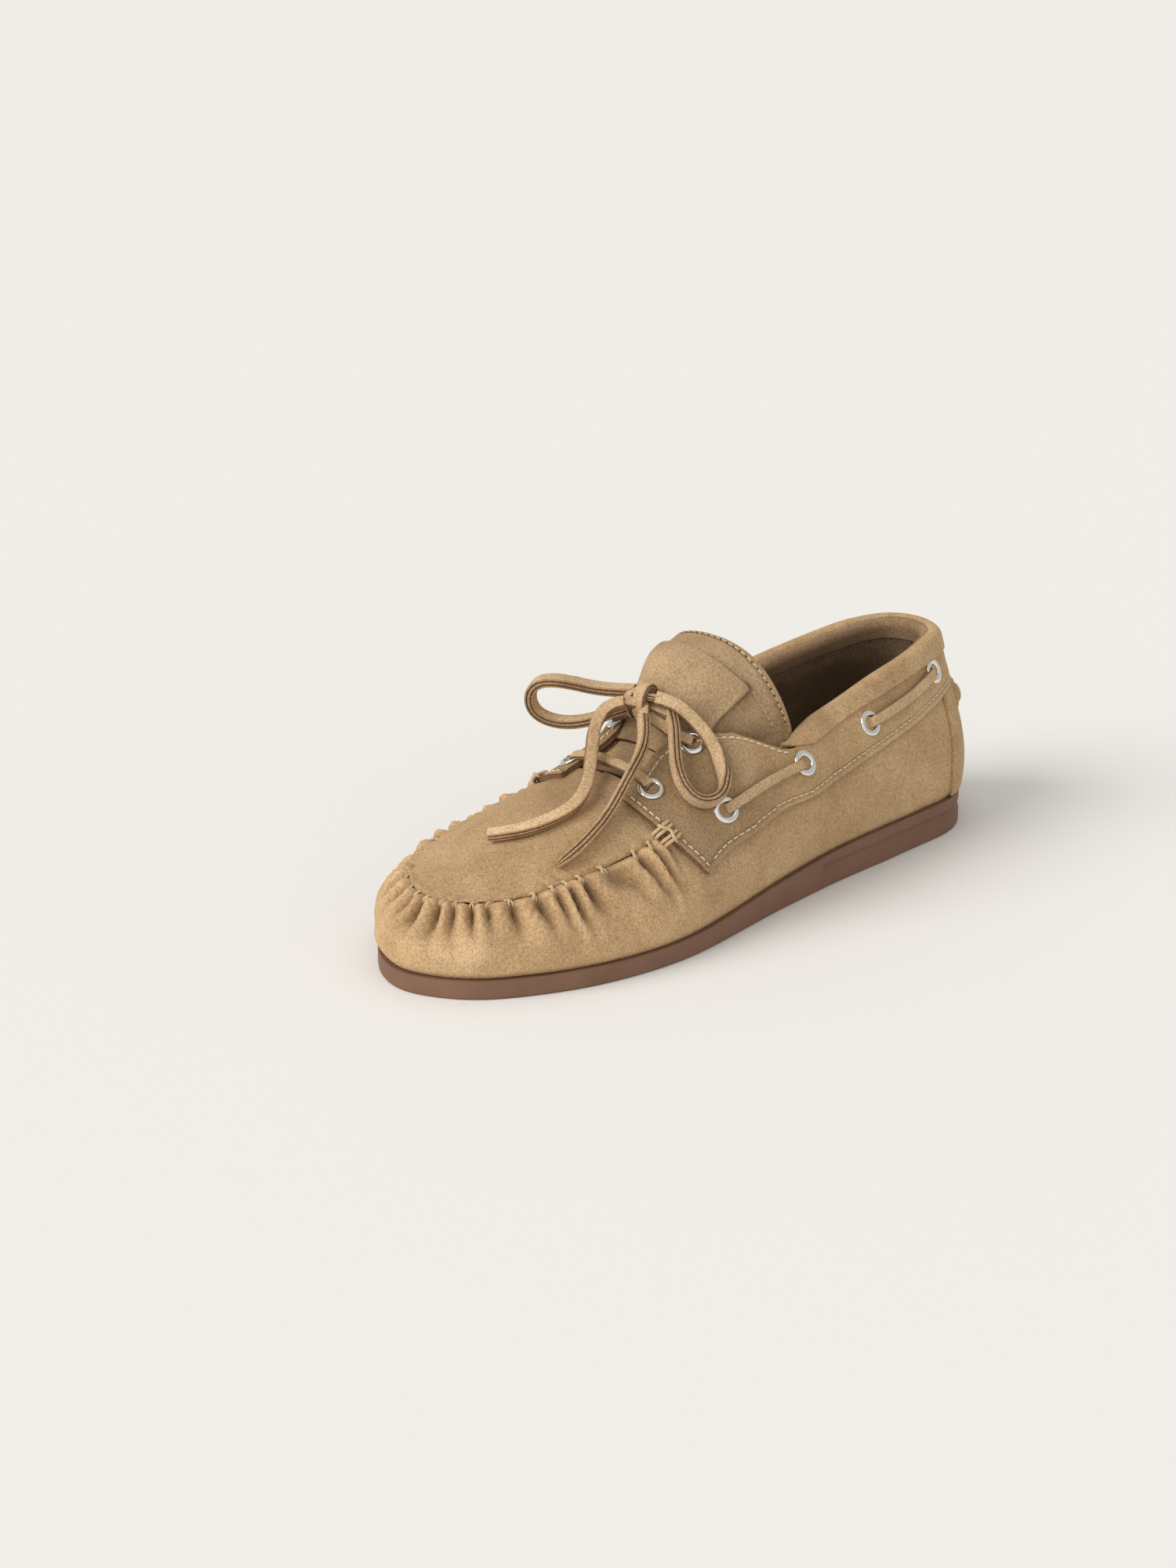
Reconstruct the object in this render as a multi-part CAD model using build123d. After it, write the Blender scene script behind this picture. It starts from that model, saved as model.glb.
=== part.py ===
"""Boat moccasin, left shoe, in millimetres.

+Z is up, the toe points to -Y, the heel to +Y and +X is the outer (lateral) side.
The ground is z = 0 and the origin is the bottom centre of the shoe's box.
Every piece of the upper is a thin layer on one shoe surface: t runs once round the shoe
from the back of the heel past the lateral side and the toe, and v runs from the feather
line on the sole up to the collar, or up to the ridge over the instep and the toes.
"""
from build123d import *
import os
from math import cos, exp, pi, radians, sin, tan

import numpy as np

os.makedirs("parts", exist_ok=True)

# ---- driving dimensions -------------------------------------------------------------
SHIFT_X = -2.04          # brings the middle of the shoe's box to x = 0
SHIFT_Y = -0.33          # and to y = 0
SOLE_TOE = 6.5           # sole thickness under the toes
SOLE_RISE = 6.0          # how much thicker the heel end of the sole is
WEDGE_FRONT = -60.0      # where the wedge starts to rise
WEDGE_LENGTH = 125.0     # and the length that it rises over
FEATHER_IN = 1.2         # upper's feather line, inside the edge of the sole
SUEDE = 1.7              # thickness of the outer suede
LAP = 0.12               # gap between two suede layers
LINING = 1.1             # thickness of the lining leather
LINING_DEPTH = 4.1       # outer face of the lining, below the shoe surface
COUNTER_IN = 3.2         # inner face of the heel stiffener, below the shoe surface
EYELET_HOLE = 2.5        # radius of an eyelet's bore
EYELET_WALL = 0.4        # wall of its barrel
EYELET_FLANGE = 4.5      # radius of its flange
EYELET_GAP = 0.30        # flange above the collar, which curves under it
LACE_ROUND = 3.0         # diameter of a lace run along the side
LACE_SLIM = 2.6          # diameter of a lace run over the throat
BOW_DIAMETER = 4.4       # diameter of the tubes that stand for the bow
APRON_REAR = 0.312       # t of the apron's rear edge, under the eyestays
APRON_FRONT = 0.444      # t where its side seams turn into the seam across the toe
APRON_CROWN = 3.2        # how far the apron's middle rises above its edges
OVERLAY_HALF = 0.62      # f of the tongue overlay's sides
OVERLAY_TOP = 4.5        # s of its rear edge at the crown
ROLL_REACH = 0.214       # t where the rolled edge ends, each side of the heel
ROLL_MIDDLE = -1.4       # middle of the roll, outward from the rim
ROLL_HALF = 3.2          # half its width
ROLL_HEIGHT = 2.3        # its crown above the rim
ROLL_EDGE = 0.35         # thickness kept along its two edges
TUCK_REACH = 0.030       # t where the gathered heel roll ends, each side
TUCK_LOW = 0.52          # v of its lower edge
TUCK_TALL = 0.15         # its height in v
TUCK_SWELL = 2.6         # how far it stands out
TUNNEL_HALF = 0.035      # half height of a hidden lace, in v
BAND = ((3.6, -1.2), (5.0, 0.5), (6.6, 1.0), (8.2, 0.5), (9.6, -1.2))  # heel band: z, depth
BAND_FRONT = 32.0        # y where the hollow band round the heel starts
BAND_TALL = 6.0          # its height
SIPE = 0.9               # width and depth of a cut in the tread
SIPE_PITCH = 7.0         # distance between cuts
SIPE_INSET = 6.0         # the cuts end this far inside the sole's edge
SIPES_TOE = (-104.0, 12) # first cut under the toes, and how many
SIPES_HEEL = (46.0, 10)  # first cut under the heel, and how many
SOLE_EDGE = 0.9          # rounding of the tread's edge

# One row per pair of stations, from the back of the heel to the tip of the toe:
# sole (y, lateral x, medial x), top of the section (x, y, z), bulge (lateral, medial),
# bulge height (lateral, medial), shoulder (lateral x, medial x, y, z) from the top
ROWS = [
    (127.5, 0.0, 0.0, 0.0, 116.8, 66.6, 4.6, 4.6, 18, 18, 0.0, 0.0, 4.6, -20),
    (121.5, 16.3, 16.0, 10.6, 112.8, 66.4, 4.2, 4.2, 18, 18, 4.0, 4.0, 3.2, -20),
    (107.5, 27.6, 26.5, 16.4, 101.8, 65.6, 3.8, 3.8, 18, 18, 7.4, 6.8, 1.4, -19),
    (87.5, 30.8, 29.8, 19.8, 86.5, 63.6, 3.7, 4.5, 17, 18, 9.6, 9.0, 0.0, -17),
    (67.5, 32.4, 30.0, 22.3, 66.5, 60.8, 4.0, 5.5, 17, 18, 11.0, 9.0, 0.0, -16),
    (37.5, 34.4, 28.0, 25.3, 38.0, 56.0, 4.5, 7.0, 17, 19, 11.5, 8.0, 0.0, -13),
    (22.5, 36.2, 27.0, 27.3, 22.0, 53.5, 4.5, 8.0, 18, 20, 11.0, 7.0, 0.0, -9),
    (7.5, 38.1, 27.0, 20.0, 8.0, 59.3, 5.0, 7.5, 19, 21, 17.0, 13.0, 0.0, -9),
    (-7.5, 40.6, 28.5, 15.0, -5.5, 63.4, 5.0, 7.5, 19, 22, 19.5, 16.0, 0.0, -7),
    (-22.5, 43.2, 31.0, 0.0, -21.0, 59.3, 5.0, 7.0, 18, 23, 26.0, 24.0, 0.0, -1),
    (-35.0, 45.0, 34.5, 0.0, -34.0, 52.4, 5.0, 6.0, 17, 24, 27.0, 25.0, 0.0, 0),
    (-47.5, 45.7, 38.0, 0.0, -47.0, 47.6, 5.0, 5.5, 16, 24, 28.0, 26.0, 0.0, 1),
    (-62.5, 44.6, 41.0, 0.0, -60.0, 44.3, 5.0, 5.5, 15, 22, 28.0, 26.0, -2.0, 1),
    (-82.5, 40.4, 41.0, 0.0, -74.0, 41.3, 5.5, 6.5, 14, 19, 25.0, 25.0, -6.0, 0),
    (-102.5, 31.9, 35.0, 0.0, -85.0, 38.6, 6.5, 8.0, 14, 17, 21.0, 22.0, -12.0, -2),
    (-115.5, 23.2, 24.5, 0.0, -90.0, 37.3, 7.0, 9.0, 14, 16, 15.0, 16.0, -17.0, -3),
    (-123.5, 12.7, 14.0, 0.0, -93.0, 36.4, 7.5, 9.0, 14, 15, 8.0, 8.5, -21.0, -5),
    (-127.5, 0.0, 0.0, 0.0, -95.0, 35.8, 8.5, 8.5, 14, 14, 0.0, 0.0, -22.0, -5),
]

# Tongue sections from the throat to its rounded rim: half width, foot of the arch
# (y, z), top of the arch (y, z), squareness of the arch
TONGUE_ROWS = [
    (19.0, -36.0, 43.0, -33.0, 50.2, 2.0),
    (20.0, -21.0, 48.5, -20.5, 57.0, 2.0),
    (18.5, -8.0, 48.0, -16.0, 64.3, 1.8),
    (17.5, 2.0, 51.0, -10.5, 78.0, 2.2),
    (20.5, 13.0, 53.0, -4.5, 84.0, 2.4),
    (23.0, 21.0, 54.5, 4.0, 85.5, 2.5),
    (24.6, 27.0, 56.0, 14.5, 84.5, 2.7),
]

parts = {}


# ---- the shoe surface ---------------------------------------------------------------
def smooth(x):
    """Smooth step from 0 to 1."""
    x = min(max(x, 0.0), 1.0)
    return x * x * (3.0 - 2.0 * x)


def sole_top(y):
    """Height of the top of the sole at a station y."""
    return SOLE_TOE + SOLE_RISE * smooth((y - WEDGE_FRONT) / WEDGE_LENGTH)


def station(row, side):
    """The four control points of the wall section at one station."""
    y, lateral, medial, tx, ty, tz, out_l, out_m, high_l, high_m, sx_l, sx_m, sy, sz = row
    width = lateral if side > 0 else medial
    bulge = out_l if side > 0 else out_m
    height = high_l if side > 0 else high_m
    shoulder = sx_l if side > 0 else sx_m
    foot = np.array([side * width, y, sole_top(y)])
    top = np.array([side * tx, ty, tz])
    return foot, top, bulge, height, np.array([side * shoulder, sy, sz])


def stations():
    """All stations once round the shoe, from the heel past the lateral side."""
    ring = [station(row, 1.0) for row in ROWS]
    ring += [station(row, -1.0) for row in ROWS[-2:0:-1]]
    feet = [s[0][:2] for s in ring]
    count = len(ring)
    control = []
    for k, (foot, top, bulge, height, shoulder) in enumerate(ring):
        along = feet[(k + 1) % count] - feet[k - 1]
        along = along / np.linalg.norm(along)
        out = np.array([-along[1], along[0], 0.0])
        feather = foot - FEATHER_IN * out
        belly = feather + bulge * out + np.array([0.0, 0.0, height])
        control.append([feather, belly, top + shoulder, top])
    steps = [np.linalg.norm(feet[(k + 1) % count] - feet[k]) for k in range(count)]
    knots = np.cumsum([0.0] + steps[:-1]) / sum(steps)
    return knots, np.array(control), np.array(feet)


KNOTS, CONTROL, FEET = stations()


def round_shoe(values, t):
    """Smooth periodic curve through one value per station."""
    count = len(KNOTS)
    t = t % 1.0
    i = int(np.searchsorted(KNOTS, t, side="right")) - 1
    gaps = np.diff(np.append(KNOTS, 1.0))
    span = gaps[i]
    s = (t - KNOTS[i]) / span

    def slope(j):
        before = gaps[j - 1]
        after = gaps[j % count]
        rise_a = (values[j % count] - values[j - 1]) / before
        rise_b = (values[(j + 1) % count] - values[j % count]) / after
        return (after * rise_a + before * rise_b) / (before + after)

    p0 = values[i]
    p1 = values[(i + 1) % count]
    m0 = slope(i) * span
    m1 = slope((i + 1) % count) * span
    curve = (2 * s**3 - 3 * s**2 + 1) * p0 + (s**3 - 2 * s**2 + s) * m0
    return curve + (3 * s**2 - 2 * s**3) * p1 + (s**3 - s**2) * m1


def surface(t, v):
    """Point of the shoe surface."""
    a, b, c, d = round_shoe(CONTROL, t)
    w = 1.0 - v
    return w**3 * a + 3 * v * w * w * b + 3 * v * v * w * c + v**3 * d


def layer(t, v, offset):
    """Point of the shoe surface moved outward along its normal."""
    dt = 0.002
    dv = 0.01
    along = surface(t + dt, v) - surface(t - dt, v)
    low = max(v - dv, 0.0)
    high = min(v + dv, 1.0)
    up = surface(t, high) - surface(t, low)
    normal = np.cross(along, up)
    return surface(t, v) - offset * normal / np.linalg.norm(normal)


def curve_value(points, x):
    """Smooth curve value(x) through a few (x, value) points."""
    xs = [p[0] for p in points]
    ys = [p[1] for p in points]
    x = min(max(x, xs[0]), xs[-1])
    i = min(max(int(np.searchsorted(xs, x)) - 1, 0), len(xs) - 2)
    s = (x - xs[i]) / (xs[i + 1] - xs[i])

    def slope(j):
        lo = max(j - 1, 0)
        hi = min(j + 1, len(xs) - 1)
        return (ys[hi] - ys[lo]) / (xs[hi] - xs[lo])

    span = xs[i + 1] - xs[i]
    ease = (2 * s**3 - 3 * s**2 + 1) * ys[i] + (3 * s**2 - 2 * s**3) * ys[i + 1]
    return ease + ((s**3 - 2 * s**2 + s) * slope(i) + (s**3 - s**2) * slope(i + 1)) * span


def seam_height(t):
    """v of the moccasin seam between the gathered wall and the apron."""
    return 0.565 + 0.085 * exp(-(((t - 0.5) / 0.045) ** 2))


def wall_top(t):
    """v of the top edge of the gathered wall, hidden under the collar at the rear."""
    near = min(t, 1.0 - t)
    rear = smooth((0.290 - near) / 0.09)
    return seam_height(t) * (1.0 - rear) + 0.93 * rear - 0.012 * (1.0 - rear)


# ---- the collar and eyestay piece, as a map of the unit square onto (t, v) -----------
COLLAR_LOW = [(0.0, 0.70), (0.06, 0.70), (0.104, 0.65), (0.154, 0.61), (0.188, 0.57),
              (0.229, 0.47), (0.258, 0.38), (0.285, 0.325), (0.301, 0.295)]
COLLAR_HIGH = [(0.0, 0.955), (0.20, 0.955), (0.243, 0.97), (0.264, 0.93), (0.285, 0.86),
               (0.318, 0.83)]
V_POINT = (0.301, 0.295)
THROAT_CORNER = (0.3236, 0.79)
BACK_SEAM = 0.0012


def collar_map(a, b):
    """(t, v) of the collar piece: a from the back seam to the V, b from low to high."""
    low_t = BACK_SEAM + (V_POINT[0] - BACK_SEAM) * a
    high_t = BACK_SEAM + (THROAT_CORNER[0] - BACK_SEAM) * a
    low_v = curve_value(COLLAR_LOW, low_t)
    high_v = curve_value(COLLAR_HIGH, high_t)
    bow = 0.0052 * sin(pi * b) * a**4
    t = low_t + (high_t - low_t) * b + bow
    return t, low_v + (high_v - low_v) * b


# ---- turning grids of points into solids --------------------------------------------
def moved(p):
    """A point in the part's own frame."""
    return Vector(p[0] + SHIFT_X, p[1] + SHIFT_Y, p[2])


def skin(grid):
    """Smooth face through a grid of points."""
    return Face.make_surface_from_array_of_points([[moved(p) for p in row] for row in grid])


def side_edge(face, start, end):
    """The face's own edge between two corner points."""
    a = moved(start)
    b = moved(end)

    def miss(edge):
        p = edge @ 0
        q = edge @ 1
        return min((p - a).length + (q - b).length, (p - b).length + (q - a).length)

    return min(face.edges(), key=miss)


def solid_between(outer, inner):
    """Closed solid between two grids of points with the same layout."""
    top = skin(outer)
    under = skin(inner)
    corners = [(0, 0), (0, -1), (-1, -1), (-1, 0)]
    sides = []
    for k in range(4):
        i0, j0 = corners[k]
        i1, j1 = corners[(k + 1) % 4]
        e_top = side_edge(top, outer[i0][j0], outer[i1][j1])
        e_under = side_edge(under, inner[i0][j0], inner[i1][j1])
        sides.append(Face.make_surface_from_curves(e_top, e_under))
    solid = Solid(Shell([top, under] + sides))
    if solid.volume < 0:
        solid = Solid(Shell([-f for f in [top, under] + sides]))
    return solid


def patch(place, across, up, outer, inner):
    """Layer of the upper: place(a, b) gives (t, v), offsets give its two faces."""
    def grid(offset):
        rows = []
        for i in range(across + 1):
            a = i / across
            rows.append([layer(*place(a, j / up), offset) for j in range(up + 1)])
        return rows
    return solid_between(grid(outer), grid(inner))


def between(t0, t1, v0, v1):
    """Place function of a strip of the shoe surface, with v limits as functions of t."""
    def place(a, b):
        t = t0 + (t1 - t0) * a
        low = v0(t)
        return t % 1.0, low + (v1(t) - low) * b
    return place


# ---- the tongue's own surface -------------------------------------------------------
def tongue_point(s, f, depth=0.0):
    """Point of the tongue: s from the throat to the rim, f from -1 to 1 across."""
    def raw(s, f):
        row = [curve_value([(k, r[c]) for k, r in enumerate(TONGUE_ROWS)], s)
               for c in range(6)]
        half, foot_y, foot_z, top_y, top_z, square = row
        angle = f * pi / 2.0
        wide = abs(sin(angle)) ** (2.0 / square)
        tall = max(cos(angle), 0.0) ** (2.0 / square)
        x = half * wide * (1.0 if f >= 0 else -1.0)
        return np.array([x, foot_y + (top_y - foot_y) * tall, foot_z + (top_z - foot_z) * tall])
    here = raw(s, f)
    if depth == 0.0:
        return here
    ds = 0.02
    df = 0.01
    along = raw(min(s + ds, 6.0), f) - raw(max(s - ds, 0.0), f)
    across = raw(s, min(f + df, 1.0)) - raw(s, max(f - df, -1.0))
    normal = np.cross(across, along)
    return here + depth * normal / np.linalg.norm(normal)


def tongue_patch(s0, s1, f0, f1, outer, inner, along=12, across=24):
    """Layer of the tongue between s0(f) and s1(f), and between f0 and f1."""
    def grid(depth):
        rows = []
        for j in range(across + 1):
            f = f0 + (f1 - f0) * j / across
            low = s0(f)
            high = s1(f)
            rows.append([tongue_point(low + (high - low) * i / along, f, depth)
                         for i in range(along + 1)])
        return rows
    return solid_between(grid(outer), grid(inner))


def flap_line(f):
    """s of the line that the free top of the tongue bends along."""
    return 3.35 + 2.2 * abs(f) ** 2.2


# ---- the sole -----------------------------------------------------------------------
def outline(inset):
    """Closed wire of the sole's outline, moved inward."""
    points = []
    count = len(FEET)
    for k in range(count):
        along = FEET[(k + 1) % count] - FEET[k - 1]
        along = along / np.linalg.norm(along)
        x = FEET[k][0] + inset * along[1]
        y = FEET[k][1] - inset * along[0]
        points.append((x + SHIFT_X, y + SHIFT_Y))
    return Spline(points, periodic=True)


def wedge(low, high, inset, bottom=None):
    """Slab that follows the top of the sole, from low to high above it."""
    ys = [-140.0 + 10.0 * k for k in range(29)]
    top = [Vector(-80, y + SHIFT_Y, sole_top(y) + high) for y in ys]
    if bottom is None:
        under = [Vector(-80, y + SHIFT_Y, sole_top(y) + low) for y in ys]
        floor_edge = Spline(under)
    else:
        under = [Vector(-80, ys[0] + SHIFT_Y, bottom), Vector(-80, ys[-1] + SHIFT_Y, bottom)]
        floor_edge = Line(under[0], under[-1])
    roof = Spline(top)
    edges = [floor_edge, Line(under[-1], top[-1]), roof, Line(top[0], under[0])]
    profile = Face(Wire(edges))
    band = Solid.extrude(profile, Vector(160, 0, 0))
    column = Solid.extrude(Face(Wire([outline(inset)])), Vector(0, 0, 60))
    return band & column


def tread_cut(y):
    """One straight cut across the tread, inside the sole's edge."""
    limit = Solid.extrude(Face(Wire([outline(SIPE_INSET)])), Vector(0, 0, SIPE))
    return Box(110, SIPE, SIPE).moved(Location((0, y, SIPE / 2.0))) & limit


def make_outsole():
    """Rubber wedge sole with a hollow band round the heel and a siped tread."""
    sole = wedge(0.0, 0.0, 0.0, bottom=0.0).solids()[0]
    bottom = sole.faces().sort_by(Axis.Z)[0]
    sole = fillet(bottom.edges(), SOLE_EDGE)
    waist = Solid.make_loft([Wire([outline(d)]).moved(Location((0, 0, z))) for z, d in BAND])
    length = 130.0
    middle = (BAND[0][0] + BAND[-1][0]) / 2.0
    block = Box(140, length, BAND_TALL).moved(Location((0, BAND_FRONT + length / 2.0, middle)))
    sole = sole - (block - waist)
    for first, count in (SIPES_TOE, SIPES_HEEL):
        for k in range(count):
            sole = sole - tread_cut(first + SIPE_PITCH * k)
    return sole


# ---- eyelets ------------------------------------------------------------------------
def eyelet_plane(t, v, offset):
    """Plane on the shoe surface, its z axis along the outward normal."""
    here = layer(t, v, offset)
    normal = layer(t, v, offset + 1.0) - here
    return Plane(origin=moved(here), z_dir=Vector(*normal))


def make_eyelet(t, v, depth):
    """Rolled flange and barrel, through to depth below the shoe surface."""
    base = LAP + SUEDE + EYELET_GAP
    barrel = EYELET_HOLE + EYELET_WALL
    low = -(base + depth)
    half = [(EYELET_HOLE, low), (barrel, low), (barrel, 0.0), (EYELET_FLANGE - 0.3, 0.0),
            (EYELET_FLANGE, 0.25), (EYELET_FLANGE - 0.7, 0.7), (barrel, 0.85),
            (EYELET_HOLE, 0.5)]
    face = Face(Wire(Polyline(*[(r, 0, z) for r, z in half], close=True).edges()))
    ring = revolve(face, Axis.Z, 360)
    return ring.moved(eyelet_plane(t, v, base).location)


def eyelet_bore(t, v):
    """Cylinder that clears an eyelet's barrel."""
    cut = Cylinder(EYELET_HOLE + EYELET_WALL + 0.08, 12)
    return cut.moved(eyelet_plane(t, v, 0.0).location)


# (t, v) of the eyelets of the lateral side, from the throat to the heel; the medial
# side has the same ones at 1 - t
EYELETS = [(0.3075, 0.755), (0.2725, 0.845), (0.2755, 0.50), (0.2075, 0.79),
           (0.1440, 0.815), (0.0680, 0.87)]
THROAT_DEPTH = -0.05
SIDE_DEPTH = SUEDE + 0.12


# ---- laces --------------------------------------------------------------------------
def lace_tube(points, diameter, name):
    """Round tube along straight runs and the largest tangent arcs that they allow."""
    places = [moved(p) for p in points]
    radii = []
    for a, b, c in zip(places, places[1:], places[2:]):
        turn = radians((b - a).get_angle(c - b))
        run = min((b - a).length, (c - b).length)
        radii.append(0.45 * run / tan(turn / 2.0))
    path = Wire(FilletPolyline(*places, radius=radii).edges())
    start = Plane(origin=path @ 0, z_dir=path % 0)
    disc = Face(Wire.make_circle(diameter / 2.0, start))
    tube = Solid.sweep(disc, path)
    expected = pi * (diameter / 2.0) ** 2 * path.length
    print(f"{name}: length {path.length:.1f}, least radius {min(radii):.1f}, "
          f"volume {tube.volume:.0f} of {expected:.0f}")
    return tube


# Bow: the rawhide's routes, from the knot outward
KNOT = (0.5, -19.0, 71.0)
LOOP_LATERAL = [(6.1, -19.3, 74.0), (10.8, -16.3, 73.0), (15.6, -12.8, 68.4),
                (21.5, -11.5, 63.6), (26.8, -12.0, 59.0), (31.8, -13.0, 53.4),
                (35.0, -16.0, 48.6), (35.6, -21.5, 46.2), (33.2, -27.0, 46.8),
                (28.4, -29.0, 51.2), (23.4, -27.2, 56.6), (19.0, -23.4, 62.0),
                (14.6, -19.4, 66.3), (9.0, -15.6, 68.7)]
LOOP_MEDIAL = [(-4.7, -18.6, 73.6), (-11.0, -20.3, 72.6), (-17.5, -24.0, 72.6),
               (-22.8, -28.4, 74.0), (-27.6, -32.6, 75.0), (-32.4, -35.6, 74.2),
               (-35.8, -36.4, 70.6), (-37.0, -35.8, 66.0), (-36.0, -34.0, 61.8),
               (-32.6, -30.8, 59.2), (-27.6, -27.2, 58.6), (-21.6, -24.4, 60.2),
               (-14.5, -23.2, 63.6), (-8.4, -22.6, 67.2), (-4.7, -22.0, 69.0)]
TAIL_FRONT = [(-1.6, -26.3, 72.2), (-5.0, -28.8, 71.2), (-7.2, -32.2, 67.8),
              (-6.2, -36.0, 63.6), (-2.8, -40.0, 59.6), (1.2, -44.8, 55.0),
              (5.4, -50.4, 51.0), (8.6, -57.2, 48.1), (10.0, -65.6, 46.5),
              (8.8, -74.2, 45.0), (5.2, -82.2, 43.4), (-1.2, -88.0, 42.1)]
TAIL_SIDE = [(5.4, -24.6, 68.8), (8.8, -27.2, 65.2), (11.8, -31.0, 61.8),
             (14.4, -35.6, 59.2), (16.4, -41.4, 55.8), (18.0, -48.4, 50.0),
             (20.2, -56.0, 45.5), (22.4, -64.6, 42.4), (24.0, -73.1, 39.6),
             (23.9, -81.0, 37.0)]


def on_both_sides(t):
    """A station of the lateral side and its twin on the medial side."""
    return (("lateral", t), ("medial", 1.0 - t))


def side_lace(first, last, sign):
    """Lace run outside the collar between two eyelets of one side."""
    (ta, va), (tb, vb) = EYELETS[first], EYELETS[last]
    over = 5.0
    route = []
    for share, height in ((0.0, -0.9), (0.0, over), (0.5, over + 0.3), (1.0, over),
                          (1.0, -0.9)):
        t = ta + (tb - ta) * share
        v = va + (vb - va) * share
        lift = 0.35 if share == 0.5 else 0.0
        route.append(layer(t if sign > 0 else 1.0 - t, v - 0.006 * lift, height))
    return route


def add(name, solid):
    """Keep one named piece."""
    parts[name] = solid


def make_sole_parts():
    add("outsole", make_outsole())
    add("insole_board", wedge(0.15, 2.0, 5.4))
    add("footbed", wedge(2.3, 5.4, 7.6))


def bored(solid, spots):
    """A layer of the upper with its eyelet bores cut."""
    for t, v in spots:
        solid = solid - eyelet_bore(t, v)
    return solid


def make_upper():
    wall = patch(between(0.002, 0.998, lambda t: 0.006, wall_top), 220, 12, 0.0, -SUEDE)
    side_spots = [(u, v) for t, v in EYELETS[2:] for _, u in on_both_sides(t)]
    add("wall", bored(wall, side_spots))
    add("apron", make_apron())
    for side, sign in (("lateral", 1.0), ("medial", -1.0)):
        def place(a, b):
            t, v = collar_map(a, b)
            return (t if sign > 0 else 1.0 - t), v
        collar = patch(place, 84, 10, LAP + SUEDE, LAP)
        spots = [(t if sign > 0 else 1.0 - t, v) for t, v in EYELETS]
        add("collar_" + side, bored(collar, spots))
    stay = patch(between(-0.066, 0.066, lambda t: 0.02,
                         lambda t: curve_value(COLLAR_LOW, abs(t)) - 0.012),
                 36, 10, LAP + SUEDE - 0.2, LAP)
    add("heel_stay", stay)
    add("heel_stiffener", patch(between(-0.12, 0.12, lambda t: 0.06, lambda t: 0.66),
                                60, 10, -SUEDE - 0.25, -COUNTER_IN))
    inner = LINING_DEPTH + LINING
    add("collar_lining", patch(between(-0.225, 0.225, lambda t: 0.09, lambda t: 0.94),
                               110, 10, -LINING_DEPTH, -inner))
    add("collar_roll", make_roll())
    add("heel_tuck", make_tuck())


def apron_base(a, b):
    """Point of the apron's middle surface: a across from lateral to medial, b forward."""
    t = APRON_REAR + (APRON_FRONT - APRON_REAR) * b
    left = surface(t, seam_height(t))
    right = surface(1.0 - t, seam_height(t))
    toe_t = APRON_FRONT + (1.0 - 2.0 * APRON_FRONT) * a
    toe = surface(toe_t, seam_height(toe_t))
    half = min(a, 1.0 - a) * 2.0

    def straight(t):
        v = seam_height(t) + (1.0 - seam_height(t)) * half
        return surface(t if a < 0.5 else 1.0 - t, v)
    ends = [surface(u, seam_height(u)) for u in (APRON_REAR, APRON_FRONT)]
    twins = [surface(1.0 - u, seam_height(u)) for u in (APRON_REAR, APRON_FRONT)]
    back = straight(APRON_REAR)
    ruled = (1 - b) * back + b * toe + (1 - a) * left + a * right
    both = (1 - b) * ((1 - a) * ends[0] + a * twins[0])
    both = both + b * ((1 - a) * ends[1] + a * twins[1])
    crown = APRON_CROWN * sin(pi * b) * (1.0 - (2.0 * a - 1.0) ** 2)
    free = ruled - both + np.array([0.0, 0.0, crown])
    share = smooth((b - 0.10) / 0.35)
    return straight(t) * (1.0 - share) + free * share


def apron_point(a, b, depth=0.0):
    """Point of the apron, moved outward by depth."""
    here = apron_base(a, b)
    if depth == 0.0:
        return here
    step = 0.01
    across = apron_base(min(a + step, 1.0), b) - apron_base(max(a - step, 0.0), b)
    ahead = apron_base(a, min(b + step, 1.0)) - apron_base(a, max(b - step, 0.0))
    normal = np.cross(across, ahead)
    if normal[2] < 0:
        normal = -normal
    return here + depth * normal / np.linalg.norm(normal)


def make_apron():
    """Plug over the toes, its edge just inside the gathered wall."""
    def grid(depth):
        return [[apron_point(a, b, depth) for b in np.linspace(0.0, 0.985, 44)]
                for a in np.linspace(0.015, 0.985, 41)]
    return solid_between(grid(0.0), grid(-SUEDE))


def raised(rows, shift):
    """Rows of points moved a little, so that the edges keep a thickness."""
    return [[p + np.array(shift) for p in row] for row in rows]


def rim_frame(t):
    """Point of the rim, and its outward and upward directions."""
    t = t % 1.0
    rim = surface(t, 1.0)
    out = layer(t, 0.985, 1.0) - layer(t, 0.985, 0.0)
    up = np.cross(surface((t + 0.002) % 1.0, 1.0) - surface((t - 0.002) % 1.0, 1.0), out)
    up = up / np.linalg.norm(up)
    return rim, out, up if up[2] > 0 else -up


def make_roll():
    """Rolled edge along the collar, from the tongue round the heel to the tongue."""
    count = 110

    def grid(height):
        rows = []
        for i in range(count + 1):
            rim, out, up = rim_frame(ROLL_REACH * (2.0 * i / count - 1.0))
            row = []
            for k in range(9):
                angle = pi * k / 8.0
                wide = ROLL_MIDDLE + ROLL_HALF * cos(angle)
                row.append(rim + wide * out + (0.15 + height * sin(angle)) * up)
            rows.append(row)
        return rows
    return solid_between(raised(grid(ROLL_HEIGHT), (0.0, 0.0, ROLL_EDGE)), grid(0.05))


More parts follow.
